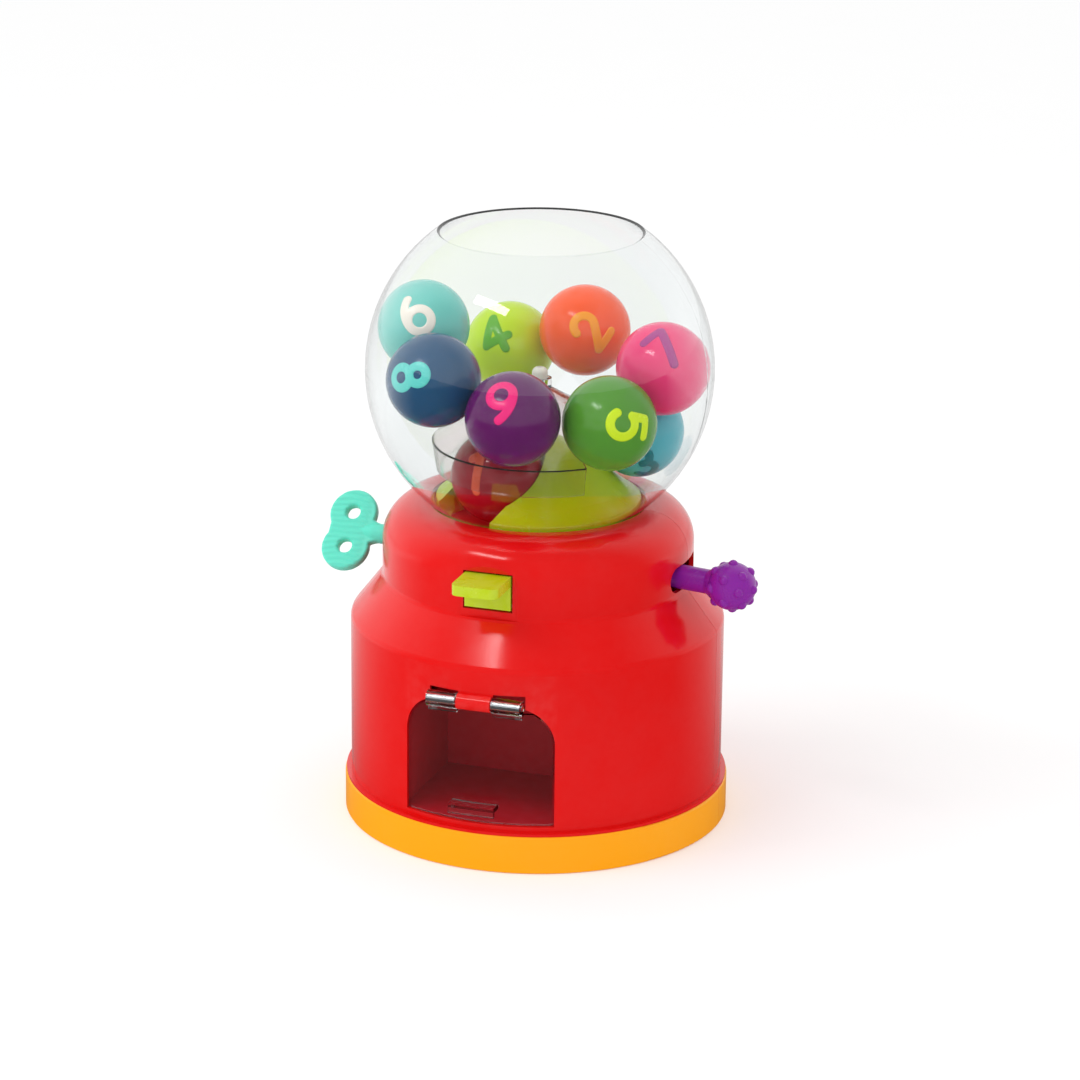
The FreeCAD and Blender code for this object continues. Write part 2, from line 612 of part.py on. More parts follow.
def deck():
    """Deck under the globe: a disc with a drop hole, a ring wall and a flange screwed to the casing."""
    floor = "deck_floor"
    turned_deck = revolved("deck_turned", [
        (0, "deck_top - deck_thick"), ("deck_ring - deck_wall", "deck_top - deck_thick"),
        ("deck_ring - deck_wall", f"{floor} - deck_thick"), ("deck_flange", f"{floor} - deck_thick"),
        ("deck_flange", floor), ("deck_ring", floor), ("deck_ring", "deck_top + deck_rim"),
        ("deck_ring - deck_wall - 0.8", "deck_top + deck_rim"), ("deck_ring - deck_wall - 0.8", "deck_top"),
        (0, "deck_top")])
    post_boss = cylinder("post_boss", "post_radius + 1.1", "deck_skirt", (0, 0, floor))
    pivot_boss = cylinder("pivot_boss", "boss_radius + 1.4", "deck_skirt", ("lever_pivot", 0, floor))
    foot_bosses = [cylinder(f"foot_boss_{i}", "boss_radius - 1.2", "deck_skirt - deck_thick + 0.5", (x, y, floor))
                   for i, (x, y) in enumerate(BRACKET_SCREWS)]
    x, y = spot("pocket_centre", 90)
    holes = [cylinder("drop_hole", "hole_radius", "deck_thick + deck_rim + 1", (x, y, "deck_top - deck_thick - 0.5")),
             cylinder("post_hole", "post_radius", 40, (0, 0, "deck_top - 30")),
             cylinder("pivot_hole", "pivot_radius", "deck_skirt + 4 - 1.5", ("lever_pivot", 0, f"{floor} - 4")),
             box("pinion_gap", ("-deck_flange - 5", "-pin_circle - 6", f"{floor} - deck_thick - 1"),
                 ("-deck_ring + 0.01", "pin_circle + 6", f"{floor} + 1"))]
    for i, (x, y) in enumerate(BRACKET_SCREWS):
        holes.append(cylinder(f"foot_hole_{i}", "1.3", "deck_skirt - deck_thick", (x, y, f"{floor} - 1")))
    for index, angle in enumerate(DECK_SCREWS):
        x, y = spot(DECK_SCREW_CIRCLE, angle)
        holes.append(cylinder(f"flange_hole_{index}", "screw_radius + 0.1", 10, (x, y, f"{floor} - 5")))
    keep("deck", cut("deck_cut", fuse("deck_solid", turned_deck, post_boss, pivot_boss, *foot_bosses), *holes))
    screws = [screw(f"deck_screw_{i}", (*spot(DECK_SCREW_CIRCLE, a), f"{floor} - deck_thick"), 8)
              for i, a in enumerate(DECK_SCREWS)]
    keep("deck_screws", group("deck_screw_group", screws))


def centre():
    """Steel post at the centre and the nut that holds the guard on it."""
    keep("centre_post", cylinder("centre_post_rod", "post_radius", "guard_peak + 7 - deck_floor",
                                 (0, 0, "deck_floor")))
    nut = revolved("nut_turned", [("post_radius + 0.05", "guard_peak + 3"), (4, "guard_peak + 3"),
                                  (4, "guard_peak + 5.5"), ("post_radius + 0.05", "guard_peak + 8.5", 3, 1)])
    keep("post_nut", nut)


def guard():
    """Clear guard over the carousel, with a window that lets one ball at a time roll in."""
    low = "guard_radius"
    rim = "guard_radius + guard_flare"
    body = revolved("guard_turned", [
        (f"{low} - guard_wall", "guard_base"), (low, "guard_base"), (rim, "guard_eaves"),
        (6, "guard_peak - 2"), (6, "guard_peak + 3"), ("post_radius + 0.1", "guard_peak + 3"),
        ("post_radius + 0.1", "guard_peak - 8"), (4, "guard_peak - 8"), (4, "guard_peak - 3.5"),
        (f"{rim} - guard_wall", "guard_eaves - 1")])
    window = new("Part::Cylinder", "window_sector")
    bind(window, Radius="guard_radius + 12", Height="guard_peak - guard_base - 4", Angle="window_sweep")
    window.Placement = FreeCAD.Placement(V(0, 0, 0), FreeCAD.Rotation(Z_AXIS, size("window_start")))
    place(window, (0, 0, "guard_base - 1"))
    hub = cylinder("window_hub", "guard_radius - 25.5", 60, (0, 0, "guard_base - 2"))
    keep("ball_guard", cut("guard_cut", body, cut("window_tool", window, hub)))


def carousel():
    """Lime carousel: a mound with one ball pocket, on a web that carries the crown gear."""
    low = "web_low"
    web = "web_low + web_thick"
    side = "collar_inner - move_gap"
    body = revolved("mound_turned", [
        ("post_radius + 0.1", low), ("gear_outer + 0.5", low), ("gear_outer + 0.5", web), (side, web),
        (side, f"{web} + mound_skirt - 1"), (f"{side} - 1", f"{web} + mound_skirt", 1, 1),
        (f"{side} - 8.5", f"{web} + mound_skirt + 5.5"),
        (f"{side} - 29", f"{web} + mound_skirt + 23.5"),
        (12, "deck_top + mound_height - 2"), (4, "deck_top + mound_height", 9, 1),
        ("post_radius + 0.1", "deck_top + mound_height")])
    tooth = box("crown_tooth", ("gear_inner", "-tooth_width / 2", f"{low} - gear_depth"),
                ("gear_outer", "tooth_width / 2", f"{low} + 0.5"))
    teeth = [turned(f"crown_tooth_{i}", tooth, Z_AXIS, f"({i} + 0.5) * 360 / gear_teeth")
             for i in range(round(size("gear_teeth")))]
    x, y = spot("pocket_centre", "pocket_angle")
    pocket = cylinder("pocket_bore", "ball_radius + pocket_gap", "mound_height + 30", (x, y, f"{low} - 5"))
    mouth = box("pocket_mouth", (0, "-ball_radius + 2.5", web), ("gear_outer", "ball_radius - 2.5", f"{web} + 60"))
    mouth = turned("pocket_mouth_turned", cut("pocket_mouth_clear", mouth,
                   cylinder("mouth_stop", "pocket_centre", 90, (0, 0, low))), Z_AXIS, "pocket_angle")
    keep("carousel", cut("carousel_cut", fuse("carousel_solid", body, *teeth), pocket, mouth))


def balls():
    """Nine numbered balls; each rests against the globe's wall unless a radius is given."""
    reach = "(globe_radius - globe_wall - ball_radius - 0.4)"
    for number, angle, height, radius in BALLS:
        radius = radius or f"sqrt({reach} ^ 2 - (globe_z - ({height})) ^ 2)"
        x, y = spot(radius, angle)
        keep(f"ball_{number}", ball(f"ball_{number}_sphere", "ball_radius", (x, y, height)))


def key():
    """Wind-up key, its shaft with the lantern pinion and the click wheel, and what holds them."""
    lobes = []
    holes = []
    for side in (-1, 1):
        name = "low" if side < 0 else "high"
        lobes.append(cylinder("lobe_" + name, "lobe_radius", "blade_thick",
                              ("-key_reach", "-blade_thick / 2", f"{side} * lobe_offset"), "y"))
        holes.append(cylinder("lobe_hole_" + name, "lobe_hole", "blade_thick + 2",
                              ("-key_reach", "-blade_thick / 2 - 1", f"{side} * lobe_offset"), "y"))
    web = box("key_web", ("-key_reach", "-blade_thick / 2", "-lobe_offset + 3"),
              ("lobe_radius + 1 - key_reach", "blade_thick / 2", "lobe_offset - 3"))
    stem = cylinder("key_stem", "stem_radius", "key_reach - gear_outer - 11.4", ("-key_reach + 7", 0, 0), "x")
    bore = cylinder("key_bore", "shaft_radius + run_gap", "key_reach - 60", ("-key_reach + 12", 0, 0), "x")
    flat_key = cut("key_flat", fuse("key_blade", *lobes, web, stem), *holes, bore)
    tilted = turned("key_tilted", flat_key, X_AXIS, "key_tilt")
    keep("wind_key", place(tilted, (0, 0, "key_height")))

    keep("key_shaft", cylinder("key_shaft_rod", "shaft_radius", "key_reach - 12 - 36",
                               ("-key_reach + 12", 0, "key_height"), "x"))
    disc = cylinder("pinion_disc", "pin_circle + 2.6", 2.4, ("pinion_face", 0, "key_height"), "x")
    hub = cylinder("pinion_hub", "shaft_radius + 3", 10, ("pinion_face", 0, "key_height"), "x")
    pin = cylinder("pinion_pin", "pin_radius", "gear_outer - gear_inner + 2.2",
                   ("pinion_face + 1.9", 0, "key_height + pin_circle"), "x")
    pins = [turned(f"pinion_pin_{i}", pin, X_AXIS, f"{i} * 360 / pinion_pins", (0, 0, "key_height"))
            for i in range(round(size("pinion_pins")))]
    bore = cylinder("pinion_bore", "shaft_radius", 12, ("pinion_face - 1", 0, "key_height"), "x")
    keep("crown_pinion", cut("pinion_cut", fuse("pinion_solid", disc, hub, *pins), bore))

    wheel = cylinder("click_disc", "click_radius - 1.6", "click_thick", ("click_face", 0, "key_height"), "x")
    tooth = box("click_tooth", ("click_face", -1.2, "key_height + 3"),
                ("click_face + click_thick", 1.2, "key_height + click_radius"))
    teeth = [turned(f"click_tooth_{i}", tooth, X_AXIS, f"{i} * 30", (0, 0, "key_height")) for i in range(12)]
    bore = cylinder("click_bore", "shaft_radius", "click_thick + 2", ("click_face - 1", 0, "key_height"), "x")
    keep("click_wheel", cut("click_cut", fuse("click_solid", wheel, *teeth), bore))

    clip = cylinder("clip_disc", "shaft_radius + 2", 1, ("3.6 - bracket_face", 0, "key_height"), "x")
    bore = cylinder("clip_bore", "shaft_radius", 3, ("2.6 - bracket_face", 0, "key_height"), "x")
    keep("shaft_clip", cut("clip_cut", clip, bore))

    bush = cylinder("bush_body", "stem_radius + 2.1", 8, ("0.6 - neck_radius", 0, "key_height"), "x")
    flange = cylinder("bush_flange", "stem_radius + 4.5", 2, ("casing_wall + 0.6 - neck_radius", 0, "key_height"), "x")
    bore = cylinder("bush_bore", "stem_radius + run_gap", 20, ("-neck_radius - 4", 0, "key_height"), "x")
    keep("key_bush", cut("bush_cut", fuse("bush_solid", bush, flange), bore))

    foot = box("bracket_foot", ("-bracket_face", -12, "deck_floor - 2.5"), ("14 - bracket_face", 12, "deck_floor"))
    web = box("bracket_web", ("-bracket_face", -8, "key_height - 16"), ("3 - bracket_face", 8, "deck_floor - 2"))
    holes = [cylinder("bracket_bore", "shaft_radius + run_gap", 6, ("-bracket_face - 2", 0, "key_height"), "x")]
    holes += [cylinder(f"bracket_hole_{i}", "screw_radius + 0.1", 6, (x, y, "deck_floor - 4"))
              for i, (x, y) in enumerate(BRACKET_SCREWS)]
    keep("key_bracket", cut("bracket_cut", fuse("bracket_solid", foot, web), *holes))
    screws = []
    for i, (x, y) in enumerate(BRACKET_SCREWS):
        shank = cylinder(f"bracket_shank_{i}", 1.2, 6.5, (x, y, "deck_floor - 2.5"))
        head = cylinder(f"bracket_head_{i}", 2.4, 1.6, (x, y, "deck_floor - 4.1"))
        screws.append(fuse(f"bracket_screw_{i}", shank, head))
    keep("bracket_screws", group("bracket_screw_group", screws))

    pawl_top = "key_height - click_radius - 0.5"
    finger = box("pawl_finger", ("click_face + 0.1", -5.5, f"{pawl_top} - 1"), ("-bracket_face", 5.5, pawl_top))
    foot = box("pawl_foot", ("click_face + 0.1", -8, "key_height - 16"), ("-bracket_face - 0.01", -5.5, pawl_top))
    keep("click_pawl", fuse("pawl_solid", finger, foot))


def side_lever():
    """Purple lever with a studded knob, the shutter it swings and the post it turns on."""
    pivot = ("lever_pivot", 0, "lever_height")
    hub = cylinder("lever_hub", "pivot_radius + 4.5", "2 * lever_stem + 1",
                   ("lever_pivot", 0, "lever_height - lever_stem - 0.5"))
    stem = cylinder("lever_stem", "lever_stem", "lever_reach - 2", pivot, "x")
    waist = cone("lever_waist", "lever_stem", "lever_stem + 2.4", 4, ("lever_pivot + lever_reach - 13", 0,
                                                                    "lever_height"), "x")
    knob = ball("knob_ball", "knob_radius", ("lever_pivot + lever_reach", 0, "lever_height"))
    studs = []
    for i, (turn, tilt) in enumerate(STUDS):
        x = f"lever_pivot + lever_reach + (knob_radius - 1) * cos({tilt})"
        y = f"(knob_radius - 1) * sin({tilt}) * cos({turn})"
        z = f"lever_height + (knob_radius - 1) * sin({tilt}) * sin({turn})"
        studs.append(ball(f"stud_{i}", "stud_radius", (x, y, z)))
    bore = cylinder("lever_bore", "pivot_radius + run_gap", 40, ("lever_pivot", 0, "lever_height - 20"))
    straight = cut("lever_straight", fuse("lever_solid", hub, stem, waist, knob, *studs), bore)
    keep("side_lever", turned("lever_turned", straight, Z_AXIS, "lever_angle", ("lever_pivot", 0, 0)))

    low = "lever_height + lever_stem + 0.5"
    ring = cylinder("shutter_ring", "pivot_radius + 4.5", 3, ("lever_pivot", 0, low))
    arm = box("shutter_arm", ("lever_pivot", -4, low), ("lever_pivot + shutter_reach", 4, f"{low} + 3"))
    tip = cylinder("shutter_tip", 6, 3, ("lever_pivot + shutter_reach", 0, low))
    bore = cylinder("shutter_bore", "pivot_radius + run_gap", 6, ("lever_pivot", 0, f"{low} - 1"))
    straight = cut("shutter_straight", fuse("shutter_solid", ring, arm, tip), bore)
    keep("drop_shutter", turned("shutter_turned", straight, Z_AXIS, "lever_angle + shutter_turn",
                                ("lever_pivot", 0, 0)))

    keep("lever_post", cylinder("lever_post_rod", "pivot_radius", "deck_floor + 8 - lever_height + lever_stem",
                                ("lever_pivot", 0, "lever_height - lever_stem - 4")))
    clip = cylinder("post_clip_disc", "pivot_radius + 2.5", 1, ("lever_pivot", 0, "lever_height - lever_stem - 1.8"))
    hole = cylinder("post_clip_bore", "pivot_radius", 3, ("lever_pivot", 0, "lever_height - lever_stem - 3"))
    keep("post_clip", cut("post_clip_cut", clip, hole))


def front_lever():
    """Lime press lever with the arm and finger that hold back the ball, its pin and its spring."""
    back = "press_pivot_y - 1.5"
    plate = box("press_plate", ("-tab_half", "-flat_face - 0.4", "tab_low"), ("tab_half", back, "tab_high"))
    tab = box("press_tab", ("-tab_half", "-flat_face - tab_reach", "tab_high - tab_thick"),
              ("tab_half", "-flat_face", "tab_high"))
    front = "-flat_face - tab_reach + 4"
    corner = []
    for side in (-1, 1):
        low, high = sorted((f"{side} * (tab_half - 4)", f"{side} * (tab_half + 1)"), key=size)
        square = box(f"tab_square_{side + 1}", (low, f"{front} - 5", "tab_high - tab_thick - 1"),
                     (high, front, "tab_high + 1"))
        disc = cylinder(f"tab_disc_{side + 1}", 4, "tab_thick + 4",
                        (f"{side} * (tab_half - 4)", front, "tab_high - tab_thick - 2"))
        corner.append(cut(f"tab_corner_{side + 1}", square, disc))
    barrel = cylinder("press_barrel", 3, "2 * tab_half", ("-tab_half", "press_pivot_y", "press_pivot_z"), "x")
    arm = box("press_arm", (-6, back, "press_pivot_z"), (6, "tray_back - 2", "press_pivot_z + 4.5"))
    finger = box("press_finger", (-6, "tray_back - 6", "chute_low + finger_clear"),
                 (6, "tray_back - 2", "press_pivot_z + 1"))
    bore = cylinder("press_bore", "hinge_pin - 0.2 + run_gap", "2 * tab_half + 6",
                    ("-tab_half - 3", "press_pivot_y", "press_pivot_z"), "x")
    keep("front_lever", cut("press_cut", fuse("press_solid", plate, tab, barrel, arm, finger), bore, *corner))
    keep("lever_pin", cylinder("lever_pin_rod", "hinge_pin - 0.2", "2 * tab_half + 9",
                               ("-tab_half - 4.5", "press_pivot_y", "press_pivot_z"), "x"))

    arm_top = "press_pivot_z + 4.5"
    length = f"deck_floor - deck_thick - ({arm_top})"
    sleeve = cylinder("spring_sleeve", "spring_radius", length, (0, "press_pivot_y + 12.5", arm_top))
    inside = cylinder("spring_inside", "spring_radius - spring_wire", length, (0, "press_pivot_y + 12.5", arm_top))
    keep("press_spring", cut("spring_cut", sleeve, inside))


def delivery():
    """Chute under the drop hole and the tray behind the door."""
    wide = "chute_half + chute_wall"
    low = "chute_low"
    side = padded("chute_side", "YZ_Plane", [
        ("tray_back + 2", f"{low} - chute_wall"), ("chute_rear + chute_wall", "chute_high - chute_wall"),
        ("chute_rear + chute_wall", "chute_high + 26"), ("tray_back + 30", "chute_high + 26"),
        ("tray_back + 2", f"{low} + chute_sides")], f"2 * ({wide})")
    room = padded("chute_room", "YZ_Plane", [
        ("tray_back - 4", f"{low} - 3"), ("chute_rear", "chute_high"),
        ("chute_rear", "chute_high + 60"), ("tray_back - 4", "chute_high + 60")], "2 * chute_half")
    leg = box("chute_leg", (-14, "chute_rear - 1", "plate_top"), (14, "chute_rear + chute_wall", "chute_high"))
    foot = box("chute_foot", (-14, "chute_rear - 10", "plate_top"), (14, "chute_rear + chute_wall", "plate_top + 2"))
    holes = [cylinder(f"chute_hole_{i}", "screw_radius + 0.1", 9, (x, "chute_rear - 5.5", 0))
             for i, x in enumerate(CHUTE_HOLES)]
    keep("ball_chute", cut("chute_cut", fuse("chute_solid", side, leg, foot), room, *holes))

    outer = "tray_half + tray_wall"
    skin = "body_radius - casing_wall - 0.3"
    tray_block = box("tray_block", (f"-({outer})", "-body_radius", "door_low - tray_wall - 0.4"),
                     (outer, "tray_back + tray_wall", "chute_low - chute_wall - 0.2"))
    cheek = box("tray_cheeks", (f"-({outer})", "-body_radius", "door_low"),
                (outer, "tray_back - 34", "door_high + 3"))
    curve = cylinder("tray_curve", skin, 120, (0, 0, 0))
    solid = common("tray_outside", fuse("tray_blocks", tray_block, cheek), curve)
    room = box("tray_room", ("-tray_half", "-body_radius - 1", "door_low + 0.2"),
               ("tray_half", "tray_back", "door_high + 20"))
    holes = [cylinder(f"tray_hole_{i}", "screw_radius + 0.1", "door_low - 0.2", (x, y, 0))
             for i, (x, y) in enumerate(TRAY_POSTS)]
    keep("dispenser_tray", cut("tray_cut", solid, room, *holes))
    screws = [screw(f"tray_screw_{i}", (x, y, 1.9), "door_low - 2.2") for i, (x, y) in enumerate(TRAY_POSTS)]
    keep("tray_screws", group("tray_screw_group", screws))


def door():
    """Clear curved door with two C-clips on a pin, and a tab for the thumb."""
    reach = "body_radius - 0.3"
    half = "door_half - door_gap"
    low = "door_low + door_gap"
    high = "hinge_z - hinge_radius - 0.6"
    arc = "door_round - door_gap"
    panel = padded("door_panel", "XZ_Plane", [
        (f"-({half})", low), (half, low), (half, "door_high - door_round"),
        (f"{half} - ({arc})", f"door_high - door_round + ({arc})", arc, 1),
        (f"({arc}) - ({half})", f"door_high - door_round + ({arc})"),
        (f"-({half})", "door_high - door_round", arc, 1)], "30", (0, "-body_radius + 4", 0))
    shell = cut("door_skin", cylinder("door_outer", reach, 100, (0, 0, 0)),
                cylinder("door_inner", f"{reach} - door_thick", 102, (0, 0, -1)))
    top = box("door_top_trim", (-60, -120, high), (60, 0, 100))
    sheet_part = cut("door_sheet", common("door_common", panel, shell), top)
    clips = []
    bores = []
    for side in (-1, 1):
        start = "barrel_half + 0.6" if side > 0 else "-(barrel_half + 0.6 + clip_length)"
        name = "right" if side > 0 else "left"
        clips.append(cylinder("clip_" + name, "hinge_radius", "clip_length", (start, "hinge_y", "hinge_z"), "x"))
        clips.append(box("clip_tail_" + name, (start, "hinge_y - 0.2", f"{high} - 1.5"),
                         (f"{start} + clip_length", "hinge_y + 3.2", "hinge_z - 2")))
        bores.append(cylinder("clip_bore_" + name, "hinge_pin + run_gap", "clip_length + 2",
                              (f"{start} - 1", "hinge_y", "hinge_z"), "x"))
        bores.append(box("clip_mouth_" + name, (f"{start} - 1", "hinge_y", "hinge_z - 1.1"),
                         (f"{start} + clip_length + 1", "hinge_y + 8", "hinge_z + 1.1")))
    thumb = box("thumb_tab", (-12, "-body_radius - 6.5", "door_low + 9"), (12, "1.5 - body_radius", "door_low + 11.5"))
    lip = box("thumb_lip", (-12, "-body_radius - 6.5", "door_low + 6.5"), (12, "-body_radius - 4.7", "door_low + 11.5"))
    keep("dispenser_door", cut("door_cut", fuse("door_solid", sheet_part, *clips, thumb, lip), *bores))
    keep("door_pin", cylinder("door_pin_rod", "hinge_pin", "2 * (barrel_half + clip_length + 1)",
                              ("-(barrel_half + clip_length + 1)", "hinge_y", "hinge_z"), "x"))


def main():
    """Build every sub-assembly, check it and write one file for each piece."""
    for build in (base, casing, globe, deck, centre, guard, carousel, balls, key, side_lever, front_lever,
                  delivery, door):
        build()
    doc.recompute()
    failed = [thing.Name for thing in doc.Objects if {"Invalid", "Error"} & set(thing.State)]
    if failed:
        raise RuntimeError("failed: " + ", ".join(failed))
    os.makedirs("parts", exist_ok=True)
    for name, thing in nodes.items():
        shape = thing.Shape
        if shape.isNull() or not shape.isValid() or not shape.Solids:
            raise RuntimeError(name + " has no valid shape")
        shape.exportStep(f"parts/{name}.step")
        print(f"{name}: {len(shape.Solids)} solids, {shape.Volume:.0f} mm3")


main()
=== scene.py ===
"""Looks of a toy gumball machine: finishes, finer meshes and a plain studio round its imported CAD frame."""

import json
import logging
import math
from collections import Counter
from collections.abc import Callable, Iterable
from dataclasses import dataclass, field
from enum import Enum

import bmesh
import bpy
import numpy as np
from mathutils import Matrix, Vector

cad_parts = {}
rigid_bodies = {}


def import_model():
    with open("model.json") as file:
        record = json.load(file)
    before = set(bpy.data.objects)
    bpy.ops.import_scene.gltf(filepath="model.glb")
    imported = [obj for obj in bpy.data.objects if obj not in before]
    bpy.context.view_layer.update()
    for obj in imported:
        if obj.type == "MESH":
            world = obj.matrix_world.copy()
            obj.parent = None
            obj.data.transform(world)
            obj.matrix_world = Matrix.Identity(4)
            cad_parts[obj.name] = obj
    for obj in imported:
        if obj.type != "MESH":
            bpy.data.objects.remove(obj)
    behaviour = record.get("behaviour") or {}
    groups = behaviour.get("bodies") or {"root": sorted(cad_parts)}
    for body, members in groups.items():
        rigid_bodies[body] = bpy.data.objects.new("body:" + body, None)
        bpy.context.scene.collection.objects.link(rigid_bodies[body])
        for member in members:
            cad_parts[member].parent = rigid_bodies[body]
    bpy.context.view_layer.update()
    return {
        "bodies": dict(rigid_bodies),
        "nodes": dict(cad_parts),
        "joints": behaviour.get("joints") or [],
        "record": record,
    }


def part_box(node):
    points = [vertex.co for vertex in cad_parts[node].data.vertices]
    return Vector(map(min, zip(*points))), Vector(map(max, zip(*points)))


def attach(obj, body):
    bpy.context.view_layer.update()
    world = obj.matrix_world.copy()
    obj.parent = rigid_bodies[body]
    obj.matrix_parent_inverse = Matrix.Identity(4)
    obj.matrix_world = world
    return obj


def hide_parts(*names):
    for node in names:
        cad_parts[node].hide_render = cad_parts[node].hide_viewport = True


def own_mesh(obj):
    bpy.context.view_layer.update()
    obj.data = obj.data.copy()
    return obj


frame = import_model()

MM = 0.001
SAME_POINT = 0.002 * MM
PLASTIC_IOR = 1.5
CLEAR_IOR = 1.49
UPWARD = Vector((0, 0, 1))
WHITE = (1.0, 1.0, 1.0, 1.0)
log = logging.getLogger("gumball_machine")

Colour = tuple[float, float, float]
Shares = tuple[float, float, float, float]
Point2 = tuple[float, float]
FieldOf2 = Callable[[np.ndarray, np.ndarray], np.ndarray]


class Body(str, Enum):
    """The moving groups of the machine."""

    MACHINE = "machine"
    CAROUSEL = "carousel_rotor"
    KEY = "key_set"
    SWING_LEVER = "swing_lever"
    PRESS_LEVER = "press_lever"
    DOOR = "flap_door"


def linear(colour: Colour) -> Shares:
    """Turns a display colour of 0 to 255 into the linear colour that shaders take."""
    shares = [part / 255 for part in colour]
    steps = [s / 12.92 if s <= 0.04045 else ((s + 0.055) / 1.055) ** 2.4 for s in shares]
    return (steps[0], steps[1], steps[2], 1.0)


# ---------------------------------------------------------------- shader node groups


class Effect(str, Enum):
    """Surface effects that several finishes share."""

    MOULD_SKIN = "mould_skin"
    COLOUR_DRIFT = "colour_drift"
    HANDLING_MARKS = "handling_marks"
    WORN_EDGES = "worn_edges"


class NodeBench:
    """Adds nodes to one tree and joins them."""

    def __init__(self, tree: bpy.types.NodeTree) -> None:
        """Takes the tree to work in.

        Args:
            tree: a material's tree or a node group.
        """
        self.tree = tree

    def add(self, kind: str, inputs: dict[str | int, object] | None = None,
            **settings: object) -> bpy.types.Node:
        """Adds one node.

        Args:
            kind: the node's type name.
            inputs: values or sockets for its inputs, by name or number.
            **settings: attributes of the node itself.

        Returns:
            The new node.
        """
        node = self.tree.nodes.new(kind)
        node.location = (200 * len(self.tree.nodes), 0)
        for name, value in settings.items():
            setattr(node, name, value)
        for key, value in (inputs or {}).items():
            if isinstance(value, bpy.types.NodeSocket):
                self.tree.links.new(value, node.inputs[key])
            else:
                node.inputs[key].default_value = value
        return node

    def maths(self, operation: str, first: object, second: object = 0.0,
              clamp: bool = False) -> bpy.types.NodeSocket:
        """Adds a Math node and returns its result."""
        node = self.add("ShaderNodeMath", {0: first, 1: second}, operation=operation, use_clamp=clamp)
        return node.outputs[0]

    def noise(self, place: object, scale: float, detail: float = 2.0,
              distortion: float = 0.0) -> bpy.types.NodeSocket:
        """Adds a Noise Texture and returns its factor."""
        wanted = {"Vector": place, "Scale": scale, "Detail": detail, "Distortion": distortion}
        return self.add("ShaderNodeTexNoise", wanted).outputs["Fac"]

    def along(self, place: object, direction: tuple[float, float, float]) -> bpy.types.NodeSocket:
        """Adds a Vector Math node and returns how far a place lies along a direction."""
        node = self.add("ShaderNodeVectorMath", {0: place, 1: direction}, operation="DOT_PRODUCT")
        return node.outputs["Value"]

    def stretched(self, value: object, low: float, high: float, to_low: object = 0.0,
                  to_high: object = 1.0) -> bpy.types.NodeSocket:
        """Adds a Map Range node from low..high to to_low..to_high and returns its result."""
        wanted = {"Value": value, "From Min": low, "From Max": high, "To Min": to_low, "To Max": to_high}
        return self.add("ShaderNodeMapRange", wanted).outputs["Result"]


def open_group(effect: Effect, inputs: dict[str, str], outputs: dict[str, str]) -> tuple[NodeBench, dict, dict]:
    """Starts a shader node group with named sockets.

    Args:
        effect: the group's name.
        inputs: socket type by input name.
        outputs: socket type by output name.

    Returns:
        A bench in the group, its input sockets by name, and its output sockets by name.
    """
    tree = bpy.data.node_groups.new(effect.value, "ShaderNodeTree")
    for name, kind in inputs.items():
        tree.interface.new_socket(name=name, in_out="INPUT", socket_type=kind)
    for name, kind in outputs.items():
        tree.interface.new_socket(name=name, in_out="OUTPUT", socket_type=kind)
    bench = NodeBench(tree)
    source = bench.add("NodeGroupInput")
    sink = bench.add("NodeGroupOutput")
    return bench, {s.name: s for s in source.outputs}, {s.name: s for s in sink.inputs}


FLOAT, VECTOR, COLOUR = "NodeSocketFloat", "NodeSocketVector", "NodeSocketColor"

# Noise scales of the effects, in features to the metre.
SWELL_SCALE = 22.0
PATCH_SCALE = 60.0
GRAIN_SCALE = 1500.0
BROAD_DRIFT_SCALE = 14.0
CLOSE_DRIFT_SCALE = 240.0
SMUDGE_SCALE = 45.0
HAIRLINE_STRETCH = (35.0, 420.0, 60.0)
HAIRLINE_TURN = (0.4, 0.9, 0.3)
EDGE_HIGHLIGHT_BREAKUP_SCALE = 180.0


def make_mould_skin() -> None:
    """Group: the slow swell and fine grain of a moulded skin, as a height and a patchy mask."""
    bench, given, result = open_group(
        Effect.MOULD_SKIN, {"Place": VECTOR, "Swell": FLOAT, "Grain": FLOAT},
        {"Height": FLOAT, "Patches": FLOAT})
    swell = bench.noise(given["Place"], SWELL_SCALE, 1.0)
    patches = bench.noise(given["Place"], PATCH_SCALE, 3.0, 0.4)
    grain = bench.noise(given["Place"], GRAIN_SCALE, 3.0)
    slow = bench.maths("MULTIPLY", swell, given["Swell"])
    fine = bench.maths("MULTIPLY", grain, given["Grain"])
    bench.tree.links.new(bench.maths("ADD", slow, fine), result["Height"])
    bench.tree.links.new(bench.stretched(patches, 0.35, 0.65), result["Patches"])


def make_colour_drift() -> None:
    """Group: a colour that drifts a little in value and saturation, as pigment does in a moulding."""
    bench, given, result = open_group(
        Effect.COLOUR_DRIFT, {"Place": VECTOR, "Colour": COLOUR, "Amount": FLOAT}, {"Colour": COLOUR})
    broad = bench.noise(given["Place"], BROAD_DRIFT_SCALE, 2.0)
    close = bench.noise(given["Place"], CLOSE_DRIFT_SCALE, 3.0, 0.6)
    mixed = bench.maths("ADD", bench.maths("MULTIPLY", broad, 0.7), bench.maths("MULTIPLY", close, 0.3))
    swing = bench.maths("MULTIPLY", bench.maths("SUBTRACT", mixed, 0.5), given["Amount"])
    value = bench.maths("ADD", swing, 1.0)
    richness = bench.maths("SUBTRACT", 1.0, bench.maths("MULTIPLY", swing, 0.5))
    shifted = bench.add("ShaderNodeHueSaturation", {
        "Color": given["Colour"], "Value": value, "Saturation": richness})
    bench.tree.links.new(shifted.outputs["Color"], result["Colour"])


